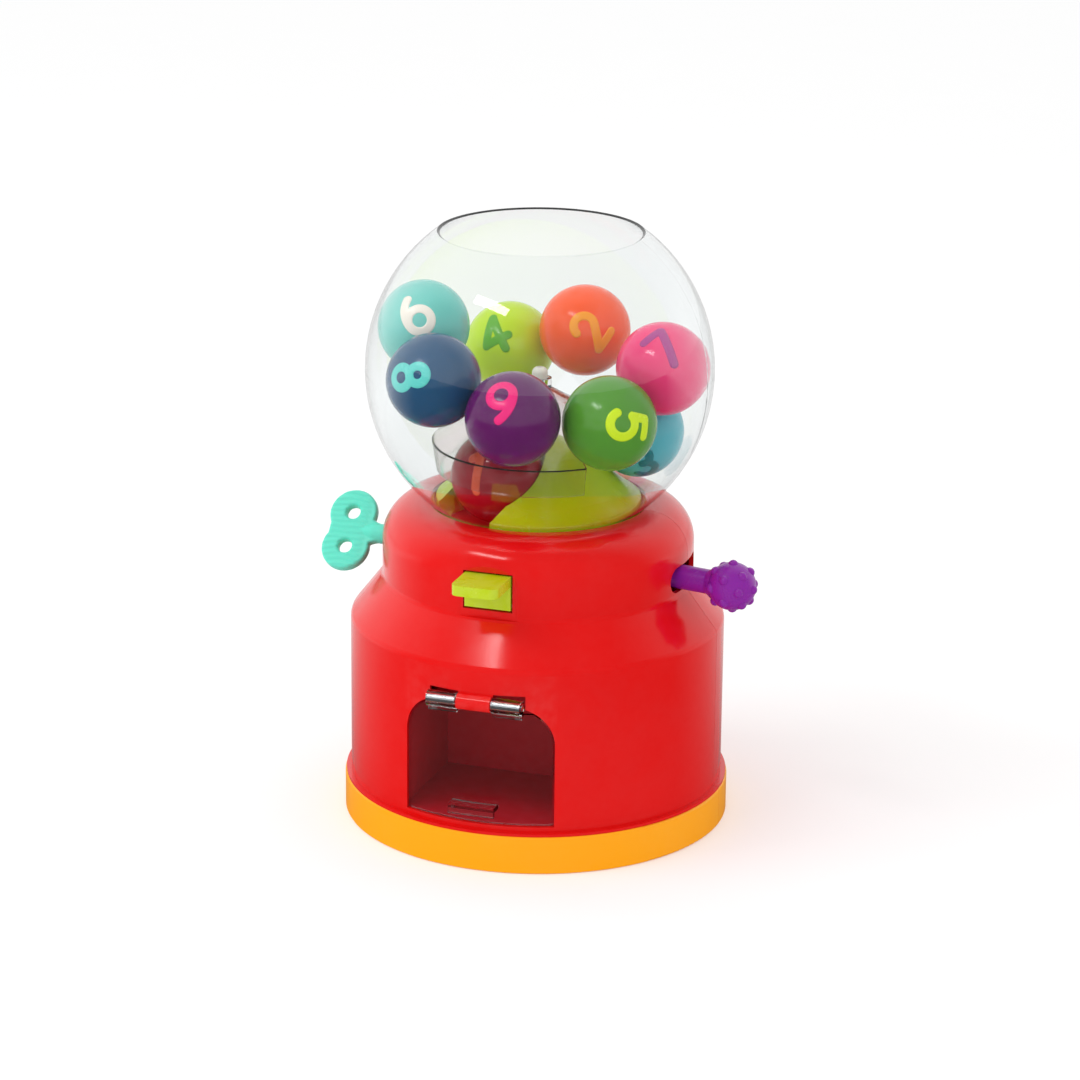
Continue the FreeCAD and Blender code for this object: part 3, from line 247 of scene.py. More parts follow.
def make_handling_marks() -> None:
    """Group: a mask of short hairline rubs and smudges from handling."""
    bench, given, result = open_group(Effect.HANDLING_MARKS, {"Place": VECTOR, "Cover": FLOAT}, {"Mask": FLOAT})
    turned = bench.add("ShaderNodeMapping", {
        "Vector": given["Place"], "Rotation": HAIRLINE_TURN, "Scale": HAIRLINE_STRETCH})
    hairs = bench.stretched(bench.noise(turned.outputs["Vector"], 6.0, 5.0, 0.8), 0.60, 0.72)
    smudge = bench.stretched(bench.noise(given["Place"], SMUDGE_SCALE, 4.0, 1.2), 0.45, 0.75)
    rubbed = bench.maths("MULTIPLY", hairs, smudge)
    both = bench.maths("ADD", bench.maths("MULTIPLY", rubbed, 0.8), bench.maths("MULTIPLY", smudge, 0.35))
    bench.tree.links.new(bench.maths("MULTIPLY", both, given["Cover"], clamp=True), result["Mask"])


def make_painted_edge_highlight() -> None:
    """Group: a mask along sharp outward edges, where a painted highlight makes a moulding paler."""
    bench, given, result = open_group(Effect.WORN_EDGES, {"Place": VECTOR, "Width": FLOAT}, {"Mask": FLOAT})
    pointed = bench.add("ShaderNodeNewGeometry").outputs["Pointiness"]
    sharp = bench.stretched(pointed, 0.52, 0.60)
    # Noise breaks the painted edge highlight into patches.
    broken = bench.stretched(bench.noise(given["Place"], EDGE_HIGHLIGHT_BREAKUP_SCALE, 4.0), 0.35, 0.6)
    mask = bench.maths("MULTIPLY", bench.maths("MULTIPLY", sharp, broken), given["Width"], clamp=True)
    bench.tree.links.new(mask, result["Mask"])


# ---------------------------------------------------------------- finishes


class Finish:
    """A finish that can make its material once."""

    name: str

    def build(self, bench: NodeBench, place: bpy.types.NodeSocket) -> bpy.types.NodeSocket:
        """Makes the shader and returns its output socket; each finish has its own."""
        raise NotImplementedError

    def material(self) -> bpy.types.Material:
        """Returns the finish's material, made on first use."""
        label = "finish_" + self.name
        found = bpy.data.materials.get(label)
        if found:
            return found
        made = bpy.data.materials.new(label)
        made.use_nodes = True
        made.node_tree.nodes.clear()
        bench = NodeBench(made.node_tree)
        place = bench.add("ShaderNodeTexCoord").outputs["Object"]
        surface = self.build(bench, place)
        bench.add("ShaderNodeOutputMaterial", {"Surface": surface})
        return made


def group_node(bench: NodeBench, effect: Effect, inputs: dict[str | int, object]) -> bpy.types.Node:
    """Places a shared effect in a material with its own values."""
    return bench.add("ShaderNodeGroup", inputs, node_tree=bpy.data.node_groups[effect.value])


@dataclass(frozen=True)
class MouldedPlastic(Finish):
    """Opaque moulded plastic, from satin to glossy."""

    name: str
    colour: Colour
    gloss: float = 0.16
    rubbed: float = 0.14
    drift: float = 0.10
    swell: float = 0.00022
    grain: float = 0.000006
    # Width and paleness of the painted highlight along sharp edges.
    edge_highlight_width: float = 0.25
    depth: float = 0.0
    mirror: float = 0.5
    handled: float = 0.6
    edge_highlight_paleness: float = 0.35

    def build(self, bench: NodeBench, place: bpy.types.NodeSocket) -> bpy.types.NodeSocket:
        """Makes the plastic from its skin, drift, handling marks and a painted highlight along its edges.

        Args:
            bench: the material's bench.
            place: object coordinates.

        Returns:
            The shader's output.
        """
        skin = group_node(bench, Effect.MOULD_SKIN, {"Place": place, "Swell": self.swell, "Grain": self.grain})
        drift = group_node(bench, Effect.COLOUR_DRIFT,
                           {"Place": place, "Colour": linear(self.colour), "Amount": self.drift})
        marks = group_node(bench, Effect.HANDLING_MARKS, {"Place": place, "Cover": self.handled})
        edges = group_node(bench, Effect.WORN_EDGES, {"Place": place, "Width": self.edge_highlight_width})
        # Painted highlight: sharp outward edges are mixed toward a paler copy of the colour, as if they caught
        # the light.
        pale = tuple(part + (255 - part) * self.edge_highlight_paleness for part in self.colour)
        highlighted = bench.add("ShaderNodeMix", {
            "Factor": edges.outputs["Mask"], "A": drift.outputs["Colour"], "B": linear(pale)}, data_type="RGBA")
        uneven = bench.stretched(skin.outputs["Patches"], 0.0, 1.0, self.gloss, self.gloss + 0.03)
        rough = bench.maths("ADD", uneven, bench.maths("MULTIPLY", marks.outputs["Mask"], self.rubbed))
        bump = bench.add("ShaderNodeBump", {"Height": skin.outputs["Height"], "Strength": 1.0, "Distance": 1.0})
        shader = bench.add("ShaderNodeBsdfPrincipled", {
            "Base Color": highlighted.outputs["Result"], "Roughness": rough, "Normal": bump.outputs["Normal"],
            "IOR": PLASTIC_IOR, "Specular IOR Level": self.mirror, "Subsurface Weight": self.depth,
            "Subsurface Scale": 1.5 * MM})
        return shader.outputs["BSDF"]


@dataclass(frozen=True)
class ClearPlastic(Finish):
    """Clear moulded plastic that lets lamps through to what is behind it."""

    name: str
    tint: Colour = (250, 252, 252)
    mirror: float = 0.5
    haze: float = 0.01
    rubbed: float = 0.05
    swell: float = 0.00003
    drift: float = 0.02
    lamp_share: Shares = (0.93, 0.94, 0.94, 1.0)

    def build(self, bench: NodeBench, place: bpy.types.NodeSocket) -> bpy.types.NodeSocket:
        """Makes the clear plastic.

        Args:
            bench: the material's bench.
            place: object coordinates.

        Returns:
            The shader's output.
        """
        skin = group_node(bench, Effect.MOULD_SKIN, {"Place": place, "Swell": self.swell, "Grain": 0.0})
        marks = group_node(bench, Effect.HANDLING_MARKS, {"Place": place, "Cover": 0.5})
        drift = group_node(bench, Effect.COLOUR_DRIFT,
                           {"Place": place, "Colour": linear(self.tint), "Amount": self.drift})
        rough = bench.maths("ADD", bench.maths("MULTIPLY", marks.outputs["Mask"], self.rubbed), self.haze)
        bump = bench.add("ShaderNodeBump", {"Height": skin.outputs["Height"], "Strength": 1.0, "Distance": 1.0})
        glass = bench.add("ShaderNodeBsdfPrincipled", {
            "Base Color": drift.outputs["Colour"], "Roughness": rough, "Normal": bump.outputs["Normal"],
            "IOR": CLEAR_IOR, "Specular IOR Level": self.mirror, "Transmission Weight": 1.0})
        lamps = bench.add("ShaderNodeBsdfTransparent", {"Color": self.lamp_share})
        ray = bench.add("ShaderNodeLightPath")
        lets_through = bench.maths("MAXIMUM", ray.outputs["Is Shadow Ray"], ray.outputs["Is Diffuse Ray"])
        mixed = bench.add("ShaderNodeMixShader", {0: lets_through, 1: glass.outputs["BSDF"],
                                                  2: lamps.outputs["BSDF"]})
        return mixed.outputs["Shader"]


@dataclass(frozen=True)
class Metal(Finish):
    """Turned or plated metal with a fine lay."""

    name: str
    colour: Colour
    gloss: float = 0.28
    drift: float = 0.25
    lay: tuple[float, float, float] = (300.0, 300.0, 4000.0)

    def build(self, bench: NodeBench, place: bpy.types.NodeSocket) -> bpy.types.NodeSocket:
        """Makes the metal.

        Args:
            bench: the material's bench.
            place: object coordinates.

        Returns:
            The shader's output.
        """
        drawn = bench.add("ShaderNodeMapping", {"Vector": place, "Scale": self.lay})
        lines = bench.noise(drawn.outputs["Vector"], 1.0, 3.0)
        drift = group_node(bench, Effect.COLOUR_DRIFT,
                           {"Place": place, "Colour": linear(self.colour), "Amount": self.drift})
        rough = bench.stretched(lines, 0.3, 0.7, self.gloss - 0.06, self.gloss + 0.10)
        bump = bench.add("ShaderNodeBump", {"Height": lines, "Strength": 0.25, "Distance": 0.02 * MM})
        shader = bench.add("ShaderNodeBsdfPrincipled", {
            "Base Color": drift.outputs["Colour"], "Roughness": rough, "Normal": bump.outputs["Normal"],
            "Metallic": 1.0})
        return shader.outputs["BSDF"]


def mirrored_only(bench: NodeBench) -> bpy.types.NodeSocket:
    """A mask that is 1 for what a gloss mirrors, and 0 for what is seen or lit, straight or through glass."""
    ray = bench.add("ShaderNodeLightPath").outputs
    mirrored = bench.maths("GREATER_THAN", ray["Glossy Depth"], 0.5)
    return bench.maths("MULTIPLY", mirrored, bench.maths("LESS_THAN", ray["Diffuse Depth"], 0.5))


@dataclass(frozen=True)
class PaleFloor(Finish):
    """Matt seamless studio paper with painted shade in its reflections: glosses show it darker where it is near
    the front.
    """

    name: str = "studio_paper"
    colour: Colour = (226, 226, 226)
    drift: float = 0.01
    glow: float = 0.3
    away: tuple[float, float, float] = (-0.316, 0.949, 0.0)
    fade_start: float = -0.05
    fade_end: float = 0.35
    # Shares of the paper's colour that glosses show near the front and far behind: painted shade in
    # reflections.
    near: float = 0.10
    far: float = 0.85

    def build(self, bench: NodeBench, place: bpy.types.NodeSocket) -> bpy.types.NodeSocket:
        """Makes the paper.

        Args:
            bench: the material's bench.
            place: object coordinates.

        Returns:
            The shader's output.
        """
        drift = group_node(bench, Effect.COLOUR_DRIFT,
                           {"Place": place, "Colour": linear(self.colour), "Amount": self.drift})
        # Painted shade in reflections: for glossy rays only, the paper's colour and glow are darkened towards
        # the front of the machine, by place on the floor.
        behind = bench.along(place, self.away)
        kept = bench.stretched(behind, self.fade_start, self.fade_end, self.near, self.far)
        mirrored = mirrored_only(bench)
        share = bench.maths("ADD", 1.0, bench.maths("MULTIPLY", mirrored, bench.maths("SUBTRACT", kept, 1.0)))
        dimmed = bench.add("ShaderNodeMix", {"Factor": share, "A": (0, 0, 0, 1), "B": drift.outputs["Colour"]},
                           data_type="RGBA")
        shader = bench.add("ShaderNodeBsdfPrincipled", {
            "Base Color": dimmed.outputs["Result"], "Roughness": 0.9, "Specular IOR Level": 0.0,
            "Emission Color": dimmed.outputs["Result"], "Emission Strength": self.glow})
        return shader.outputs["BSDF"]


# Finishes by the frame's material slots.
SLOT_FINISHES: dict[str, Finish] = {
    "red_shell": MouldedPlastic("red_shell", (224, 16, 15), gloss=0.13, drift=0.05, edge_highlight_width=0.12),
    "crimson_inner": MouldedPlastic("crimson_inner", (196, 4, 28), gloss=0.4, drift=0.08, edge_highlight_width=0.1,
                                    mirror=0.2),
    "amber_base": MouldedPlastic("amber_base", (255, 168, 4), gloss=0.3, drift=0.05, edge_highlight_width=0.1,
                                 mirror=0.25),
    "clear_globe": ClearPlastic("clear_globe", mirror=0.2),
    "clear_guard": ClearPlastic("clear_guard", (248, 242, 242), mirror=0.3, haze=0.07),
    "clear_door": ClearPlastic("clear_door", haze=0.0, mirror=0.25),
    "lime_plastic": MouldedPlastic("lime_plastic", (186, 208, 6), gloss=0.24, drift=0.06),
    "mint_plastic": MouldedPlastic("mint_plastic", (96, 226, 200), gloss=0.36, drift=0.07, depth=0.05),
    "purple_plastic": MouldedPlastic("purple_plastic", (138, 28, 158), gloss=0.26, drift=0.07, depth=0.05),
    "natural_acetal": MouldedPlastic("natural_acetal", (232, 228, 214), gloss=0.38, depth=0.1),
    "steel": Metal("steel", (196, 198, 202)),
    "zinc_screw": Metal("zinc_screw", (188, 192, 200), gloss=0.34, lay=(900.0, 900.0, 900.0)),
}


# Finishes by node, where a node looks unlike its slot.
NODE_FINISHES: dict[str, Finish] = {"post_nut": SLOT_FINISHES["natural_acetal"]}


@dataclass(frozen=True)
class BallLook:
    """One ball's finish and numeral: where the numeral faces and how far it is rolled."""

    digit: int
    colour: Colour
    numeral_colour: Colour
    azimuth: float
    elevation: float
    roll: float


BALL_LOOKS = (
    BallLook(1, (168, 2, 30), (236, 96, 60), -100, 20, 0),
    BallLook(2, (255, 88, 26), (255, 160, 10), -65, 14, 55),
    BallLook(3, (84, 186, 200), (10, 128, 136), -66, -30, 20),
    BallLook(4, (196, 228, 16), (98, 178, 32), -95, 29, 35),
    BallLook(5, (84, 150, 42), (214, 240, 8), -48, 13, -100),
    BallLook(6, (104, 204, 192), (250, 240, 226), -81, 28, 44),
    BallLook(7, (246, 56, 122), (176, 60, 140), -72, 42, 40),
    BallLook(8, (24, 78, 118), (96, 214, 204), -104, 18, -73),
    BallLook(9, (96, 0, 92), (248, 8, 124), -89, 37, 12),
)


# ---------------------------------------------------------------- mesh helpers


def new_piece(name: str, vertices: Iterable, faces: Iterable, finish: Finish) -> bpy.types.Object:
    """Makes an object from vertices and faces, with its normals turned outward.

    Args:
        name: the piece's name.
        vertices: points in metres.
        faces: loops of vertex numbers.
        finish: the piece's finish.

    Returns:
        The object, linked to the scene.
    """
    mesh = bpy.data.meshes.new(name)
    mesh.from_pydata([tuple(v) for v in vertices], [], [tuple(f) for f in faces])
    worked = bmesh.new()
    worked.from_mesh(mesh)
    bmesh.ops.remove_doubles(worked, verts=worked.verts, dist=SAME_POINT)
    bmesh.ops.recalc_face_normals(worked, faces=worked.faces)
    for face in worked.faces:
        face.smooth = True
    worked.to_mesh(mesh)
    worked.free()
    mesh.materials.append(finish.material())
    piece = bpy.data.objects.new(name, mesh)
    bpy.context.scene.collection.objects.link(piece)
    return piece


def bake_modifiers(piece: bpy.types.Object) -> None:
    """Applies every modifier on the piece."""
    shaped = bpy.data.meshes.new_from_object(piece.evaluated_get(bpy.context.evaluated_depsgraph_get()))
    piece.modifiers.clear()
    old = piece.data
    piece.data = shaped
    bpy.data.meshes.remove(old)
    for face in shaped.polygons:
        face.use_smooth = True


def rounded_cube_sphere(radius: float, cells: int) -> tuple[np.ndarray, list]:
    """Points and quads of a sphere made from a cube's six grids, evenly spread.

    Args:
        radius: the sphere's radius in metres.
        cells: quads along each side of a grid.

    Returns:
        The vertices and the faces.
    """
    steps = np.tan(np.linspace(-math.pi / 4, math.pi / 4, cells + 1))
    u, v = np.meshgrid(steps, steps, indexing="ij")
    one = np.ones_like(u)
    vertices, faces = [], []
    for axes in ((u, v, one), (v, u, -one), (one, u, v), (-one, v, u), (v, one, u), (u, -one, v)):
        start = sum(len(block) for block in vertices)
        block = np.stack([a.ravel() for a in axes], axis=1)
        vertices.append(radius * block / np.linalg.norm(block, axis=1, keepdims=True))
        for i in range(cells):
            for j in range(cells):
                at = start + i * (cells + 1) + j
                faces.append((at, at + cells + 1, at + cells + 2, at + 1))
    return np.concatenate(vertices), faces


def skinned(rings: list[list]) -> tuple[list, list]:
    """Closes a row of rings into a tube with capped ends.

    Args:
        rings: the rings in order, each a loop of as many points.

    Returns:
        The vertices and the faces.
    """
    sides = len(rings[0])
    vertices = [point for ring in rings for point in ring]
    last = (len(rings) - 1) * sides
    faces = [(start + i, start + (i + 1) % sides, start + sides + (i + 1) % sides, start + sides + i)
             for start in range(0, last, sides) for i in range(sides)]
    faces += [tuple(reversed(range(sides))), tuple(range(last, last + sides))]
    return vertices, faces


@dataclass(frozen=True)
class ReliefPlate:
    """A closed plate whose outline is where a distance field crosses zero.

    The upper and lower faces are grids of quads, cut to the outline and pulled onto it.
    """

    distance: FieldOf2
    low: Point2
    high: Point2
    cell: float

    def grid(self) -> tuple[np.ndarray, np.ndarray, list]:
        """Works out the flat grid inside the outline.

        Returns:
            The points, which of them lie on the outline, and the quads.
        """
        across = np.arange(self.low[0], self.high[0] + self.cell, self.cell)
        along = np.arange(self.low[1], self.high[1] + self.cell, self.cell)
        x, y = np.meshgrid(across, along, indexing="ij")
        middle = self.distance(x[:-1, :-1] + self.cell / 2, y[:-1, :-1] + self.cell / 2) < 0
        rows = len(along)
        quads = [(i * rows + j, (i + 1) * rows + j, (i + 1) * rows + j + 1, i * rows + j + 1)
                 for i, j in zip(*np.nonzero(middle))]
        uses = Counter(frozenset(edge) for quad in quads for edge in zip(quad, quad[1:] + quad[:1]))
        rim = {corner for edge, count in uses.items() if count == 1 for corner in edge}
        used = sorted({corner for quad in quads for corner in quad})
        number = {corner: i for i, corner in enumerate(used)}
        points = np.stack([x.ravel()[used], y.ravel()[used]], axis=1)
        on_rim = np.array([corner in rim for corner in used])
        points[on_rim] = self.pulled(points[on_rim])
        return points, on_rim, [tuple(number[c] for c in quad) for quad in quads]

    def pulled(self, points: np.ndarray) -> np.ndarray:
        """Moves points along the field's slope until they lie on the outline."""
        step = self.cell * 0.05
        for _ in range(4):
            x, y = points[:, 0], points[:, 1]
            here = self.distance(x, y)
            slope_x = (self.distance(x + step, y) - self.distance(x - step, y)) / (2 * step)
            slope_y = (self.distance(x, y + step) - self.distance(x, y - step)) / (2 * step)
            steep = np.maximum(slope_x ** 2 + slope_y ** 2, 0.2)
            points = points - np.stack([here * slope_x / steep, here * slope_y / steep], axis=1)
        return points

    def solid(self, upper: FieldOf2, lower: FieldOf2) -> tuple[np.ndarray, list]:
        """Makes the closed plate.

        Args:
            upper: height of the upper face at a point.
            lower: height of the lower face at a point.

        Returns:
            The vertices as x, y and height, and the faces.
        """
        flat, _, quads = self.grid()
        count = len(flat)
        top = np.column_stack([flat, upper(flat[:, 0], flat[:, 1])])
        bottom = np.column_stack([flat, lower(flat[:, 0], flat[:, 1])])
        faces = list(quads) + [tuple(count + c for c in reversed(quad)) for quad in quads]
        directed = [edge for quad in quads for edge in zip(quad, quad[1:] + quad[:1])]
        uses = Counter(frozenset(edge) for edge in directed)
        faces += [(b, a, a + count, b + count) for a, b in directed if uses[frozenset((a, b))] == 1]
        return np.concatenate([top, bottom]), faces


@dataclass(frozen=True)
class Line:
    """A straight stretch of a numeral."""

    start: Point2
    end: Point2

    def distance(self, x: np.ndarray, y: np.ndarray) -> np.ndarray:
        """Distance from each point to the stretch."""
        dx, dy = self.end[0] - self.start[0], self.end[1] - self.start[1]
        share = ((x - self.start[0]) * dx + (y - self.start[1]) * dy) / (dx * dx + dy * dy)
        share = np.clip(share, 0, 1)
        return np.hypot(x - self.start[0] - share * dx, y - self.start[1] - share * dy)


@dataclass(frozen=True)
class Bow:
    """A round stretch of a numeral, from one angle through a sweep in degrees."""

    centre: Point2
    radius: float
    start: float = 0.0
    sweep: float = 360.0

    def distance(self, x: np.ndarray, y: np.ndarray) -> np.ndarray:
        """Distance from each point to the stretch."""
        dx, dy = x - self.centre[0], y - self.centre[1]
        middle = math.radians(self.start + self.sweep / 2)
        half = math.radians(abs(self.sweep) / 2)
        turn = np.abs((np.arctan2(dy, dx) - middle + math.pi) % (2 * math.pi) - math.pi)
        ring = np.abs(np.hypot(dx, dy) - self.radius)
        ends = [math.radians(self.start), math.radians(self.start + self.sweep)]
        gaps = [np.hypot(dx - self.radius * math.cos(a), dy - self.radius * math.sin(a)) for a in ends]
        return np.where(turn <= half, ring, np.minimum(*gaps))


# Centre lines of the numerals in millimetres, upright and centred.
NUMERALS: dict[int, tuple[Line | Bow, ...]] = {
    1: (Line((0.8, -9.5), (0.8, 9.5)), Line((0.8, 9.5), (-3.8, 6.0))),
    2: (Bow((0, 4.1), 5.4, 168, -205), Line((4.3, 0.85), (-5.6, -9.5)), Line((-5.6, -9.5), (6.0, -9.5))),
    3: (Bow((0, 4.9), 4.6, 150, -240), Bow((0, -4.3), 5.2, 90, -240)),
    4: (Line((2.4, 9.5), (-6.6, -3.6)), Line((-6.6, -3.6), (6.6, -3.6)), Line((2.4, 9.5), (2.4, -9.5))),
    5: (Line((5.2, 9.5), (-3.6, 9.5)), Line((-3.6, 9.5), (-4.4, 1.6)), Bow((-0.2, -3.2), 6.3, 131, -281)),
    6: (Bow((0, -3.6), 5.9), Bow((8.6, -3.6), 14.5, 180, -63)),
    7: (Line((-5.6, 9.5), (5.6, 9.5)), Line((5.6, 9.5), (-1.6, -9.5))),
    8: (Bow((0, 5.1), 4.4), Bow((0, -4.3), 5.2)),
    9: (Bow((0, 3.6), 5.9), Bow((-8.6, 3.6), 14.5, 0, -63)),
}


# ---------------------------------------------------------------- sub-assemblies


@dataclass
class NumberBall:
    """One play ball with its raised numeral.

    Args:
        look: the ball's colours and numeral.
        body: the body that the ball rides on.
    """

    look: BallLook
    body: Body
    stroke_half: float = 2.3
    stroke_rise: float = 0.28
    stroke_root: float = 0.5
    stroke_cell: float = 0.4
    shell_inset: float = 0.05
    shell_cells: int = 34

    @property
    def node(self) -> str:
        """The CAD node that this ball stands for."""
        return f"ball_{self.look.digit}"

    def shell(self) -> bpy.types.Object:
        """Makes the ball itself."""
        low, high = (np.array(corner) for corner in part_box(self.node))
        self.centre = (low + high) / 2
        self.radius = float((high - low).min()) / 2 - self.shell_inset * MM
        vertices, faces = rounded_cube_sphere(self.radius, self.shell_cells)
        finish = MouldedPlastic(f"ball_{self.look.digit}", self.look.colour, gloss=0.15, drift=0.08,
                                edge_highlight_width=0.0, depth=0.06)
        piece = new_piece(f"ball_shell_{self.look.digit}", vertices + self.centre, faces, finish)
        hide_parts(self.node)
        return piece

    def numeral(self) -> bpy.types.Object:
        """Makes the numeral as rounded strokes that stand a little out of the ball."""
        strokes = NUMERALS[self.look.digit]

        def outline(x: np.ndarray, y: np.ndarray) -> np.ndarray:
            """Signed distance from the edge of the strokes."""
            return np.minimum.reduce([s.distance(x, y) for s in strokes]) - self.stroke_half

        def crown(x: np.ndarray, y: np.ndarray) -> np.ndarray:
            """Height of the stroke's rounded back."""
            depth = np.clip(-outline(x, y) / self.stroke_half, 0, 1)
            return self.stroke_rise * np.sqrt(1 - (1 - depth) ** 4)

        def root(x: np.ndarray, y: np.ndarray) -> np.ndarray:
            """Height of the hidden underside."""
            return np.full_like(x, -self.stroke_root)

        plate = ReliefPlate(outline, (-10.0, -12.8), (10.0, 12.8), self.stroke_cell)
        flat, faces = plate.solid(crown, root)
        finish = MouldedPlastic(f"numeral_{self.look.digit}", self.look.numeral_colour, gloss=0.24, drift=0.06,
                                edge_highlight_width=0.0)
        piece = new_piece(f"numeral_{self.look.digit}", self.wrapped(flat), faces, finish)
        return piece

    def wrapped(self, flat: np.ndarray) -> np.ndarray:
        """Lays flat points in millimetres onto the ball, round the numeral's middle.

        Args:
            flat: points as x, y and height.

        Returns:
            Points in metres on the ball.
        """
        turn, lift, roll = (math.radians(a) for a in (self.look.azimuth, self.look.elevation, self.look.roll))
        facing = np.array([math.cos(lift) * math.cos(turn), math.cos(lift) * math.sin(turn), math.sin(lift)])
        level = np.array([-math.sin(turn), math.cos(turn), 0.0])
        upward = np.cross(facing, level)
        right = level * math.cos(roll) + upward * math.sin(roll)
        up = upward * math.cos(roll) - level * math.sin(roll)
        reach = np.hypot(flat[:, 0], flat[:, 1]) * MM
        angle = reach / self.radius
        spread = (np.outer(flat[:, 0], right) + np.outer(flat[:, 1], up)) * MM
        spread /= np.maximum(reach, 1e-9)[:, None]
        outward = np.outer(np.cos(angle), facing) + np.sin(angle)[:, None] * spread
        return self.centre + outward * (self.radius + flat[:, 2] * MM)[:, None]

    def build(self) -> list[bpy.types.Object]:
        """Makes the ball and its numeral, and sets both on their body."""
        pieces = [self.shell(), self.numeral()]
        for piece in pieces:
            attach(piece, self.body.value)
        return pieces


@dataclass
class WindKey:
    """Two-lobed wind-up key with a rippled blade and a flared stem, in millimetres."""

    lobe_radius: float = 12.7
    lobe_offset: float = 9.6
    hole_radius: float = 3.7
    blade_half: float = 3.2
    edge_round: float = 1.1
    ripple_height: float = 0.6
    ripple_pitch: float = 3.1
    waist_reach: float = 0.86
    waist_width: float = 0.55
    stem_radius: float = 5.25
    flare_reach: float = 17.0
    tilt: float = -41.0
    cell: float = 0.42
    voxel: float = 0.42
    stem_sides: int = 48
    bore_depth: float = 9.0

    def __post_init__(self) -> None:
        """Reads where the key lies from the frame."""
        low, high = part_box("wind_key")
        self.left = low[0] / MM
        self.right = high[0] / MM
        self.height = (low[2] + high[2]) / 2 / MM
        self.lobe_x = self.left + self.lobe_radius

    def outline(self, x: np.ndarray, z: np.ndarray) -> np.ndarray:
        """Signed distance from the blade's edge, flat on, with x along the stem."""
        lobes = [np.hypot(x - self.lobe_x, z - side * self.lobe_offset) - self.lobe_radius for side in (-1, 1)]
        waist = np.maximum(np.abs(x - self.lobe_x) - self.lobe_radius * self.waist_reach,
                           np.abs(z) - self.lobe_offset * self.waist_width)
        flare = np.maximum(np.abs(z) - self.flare_half(x), np.abs(x - self.lobe_x - 9) - 9)
        solid = np.minimum.reduce([*lobes, waist, flare])
        holes = [self.hole_radius - np.hypot(x - self.lobe_x, z - side * self.lobe_offset) for side in (-1, 1)]
        return np.maximum.reduce([solid, *holes])

    def flare_half(self, x: np.ndarray) -> np.ndarray:
        """Half width of the web that narrows from the lobes into the stem."""
        share = np.clip((x - self.lobe_x - 4) / self.flare_reach, 0, 1)
        return self.stem_radius - 0.6 + 10.5 * (1 - share) ** 2.6

    def face(self, x: np.ndarray, z: np.ndarray) -> np.ndarray:
        """Height of a rippled face over the blade's middle plane."""
        depth = np.clip(-self.outline(x, z), 0, self.edge_round)
        shoulder = self.blade_half - self.ripple_height - self.edge_round
        edge = np.sqrt(np.maximum(self.edge_round ** 2 - (self.edge_round - depth) ** 2, 0))
        wander = 0.9 * np.sin(x / 7.0 + 0.6) + 0.35 * np.sin(x / 2.9 + z / 5.0)
        phase = 2 * math.pi * (z + wander) / self.ripple_pitch
        on_lobe = np.clip((self.lobe_x + self.lobe_radius * 0.8 - x) / 3, 0, 1)
        ridge = self.ripple_height * on_lobe * (0.5 + 0.5 * np.sin(phase)) * depth / self.edge_round
        return shoulder + edge + ridge

    def stem_profile(self) -> list[tuple[float, float]]:
        """Profile of the stem as distance along x and radius, with a bore for the shaft."""
        start = self.lobe_x + 6.0
        outer = self.stem_radius - 0.02
        bore = self.stem_radius - 2.6
        point = 0.02
        return [(start, point), (start, 2.4), (start + 2.5, 3.4), (start + 7.0, 4.7), (start + 12.0, outer),
                (self.right - 0.4, outer), (self.right, self.stem_radius - 0.4), (self.right, bore + 0.3),
                (self.right - 0.3, bore), (self.right - self.bore_depth, bore),
                (self.right - self.bore_depth, point)]

    def blade(self) -> tuple[list, list]:
        """Makes the rippled blade, flat on, as vertices and faces in millimetres."""
        reach = self.lobe_offset + self.lobe_radius + 1
        plate = ReliefPlate(self.outline, (self.left - 1, -reach), (self.lobe_x + 19, reach), self.cell)
        flat, faces = plate.solid(self.face, lambda x, z: -self.face(x, z))
        return [(x, -y, z) for x, z, y in flat], faces

    def stem(self) -> tuple[list, list]:
        """Makes the bored stem as vertices and faces in millimetres."""
        angles = [2 * math.pi * k / self.stem_sides for k in range(self.stem_sides)]
        return skinned([[(x, radius * math.cos(a), radius * math.sin(a)) for a in angles]
                        for x, radius in self.stem_profile()])

    def build(self) -> list[bpy.types.Object]:
        """Makes the key as one moulding and sets it on the key's body."""
        vertices, faces = self.blade()
        stem_vertices, stem_faces = self.stem()
        faces = [*faces, *(tuple(len(vertices) + corner for corner in face) for face in stem_faces)]
        upright = Matrix.Translation((0, 0, self.height * MM))
        placed = upright @ Matrix.Rotation(math.radians(self.tilt), 4, "X")
        points = [placed @ (Vector(v) * MM) for v in (*vertices, *stem_vertices)]
        piece = new_piece("rippled_key", points, faces, SLOT_FINISHES["mint_plastic"])
        merged = piece.modifiers.new("one_moulding", "REMESH")
        merged.mode = "VOXEL"
        merged.voxel_size = self.voxel * MM
        soft = piece.modifiers.new("soft_corners", "SMOOTH")
        soft.factor = 0.5
        soft.iterations = 2
        bake_modifiers(piece)
        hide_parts("wind_key")
        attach(piece, Body.KEY.value)
        return [piece]


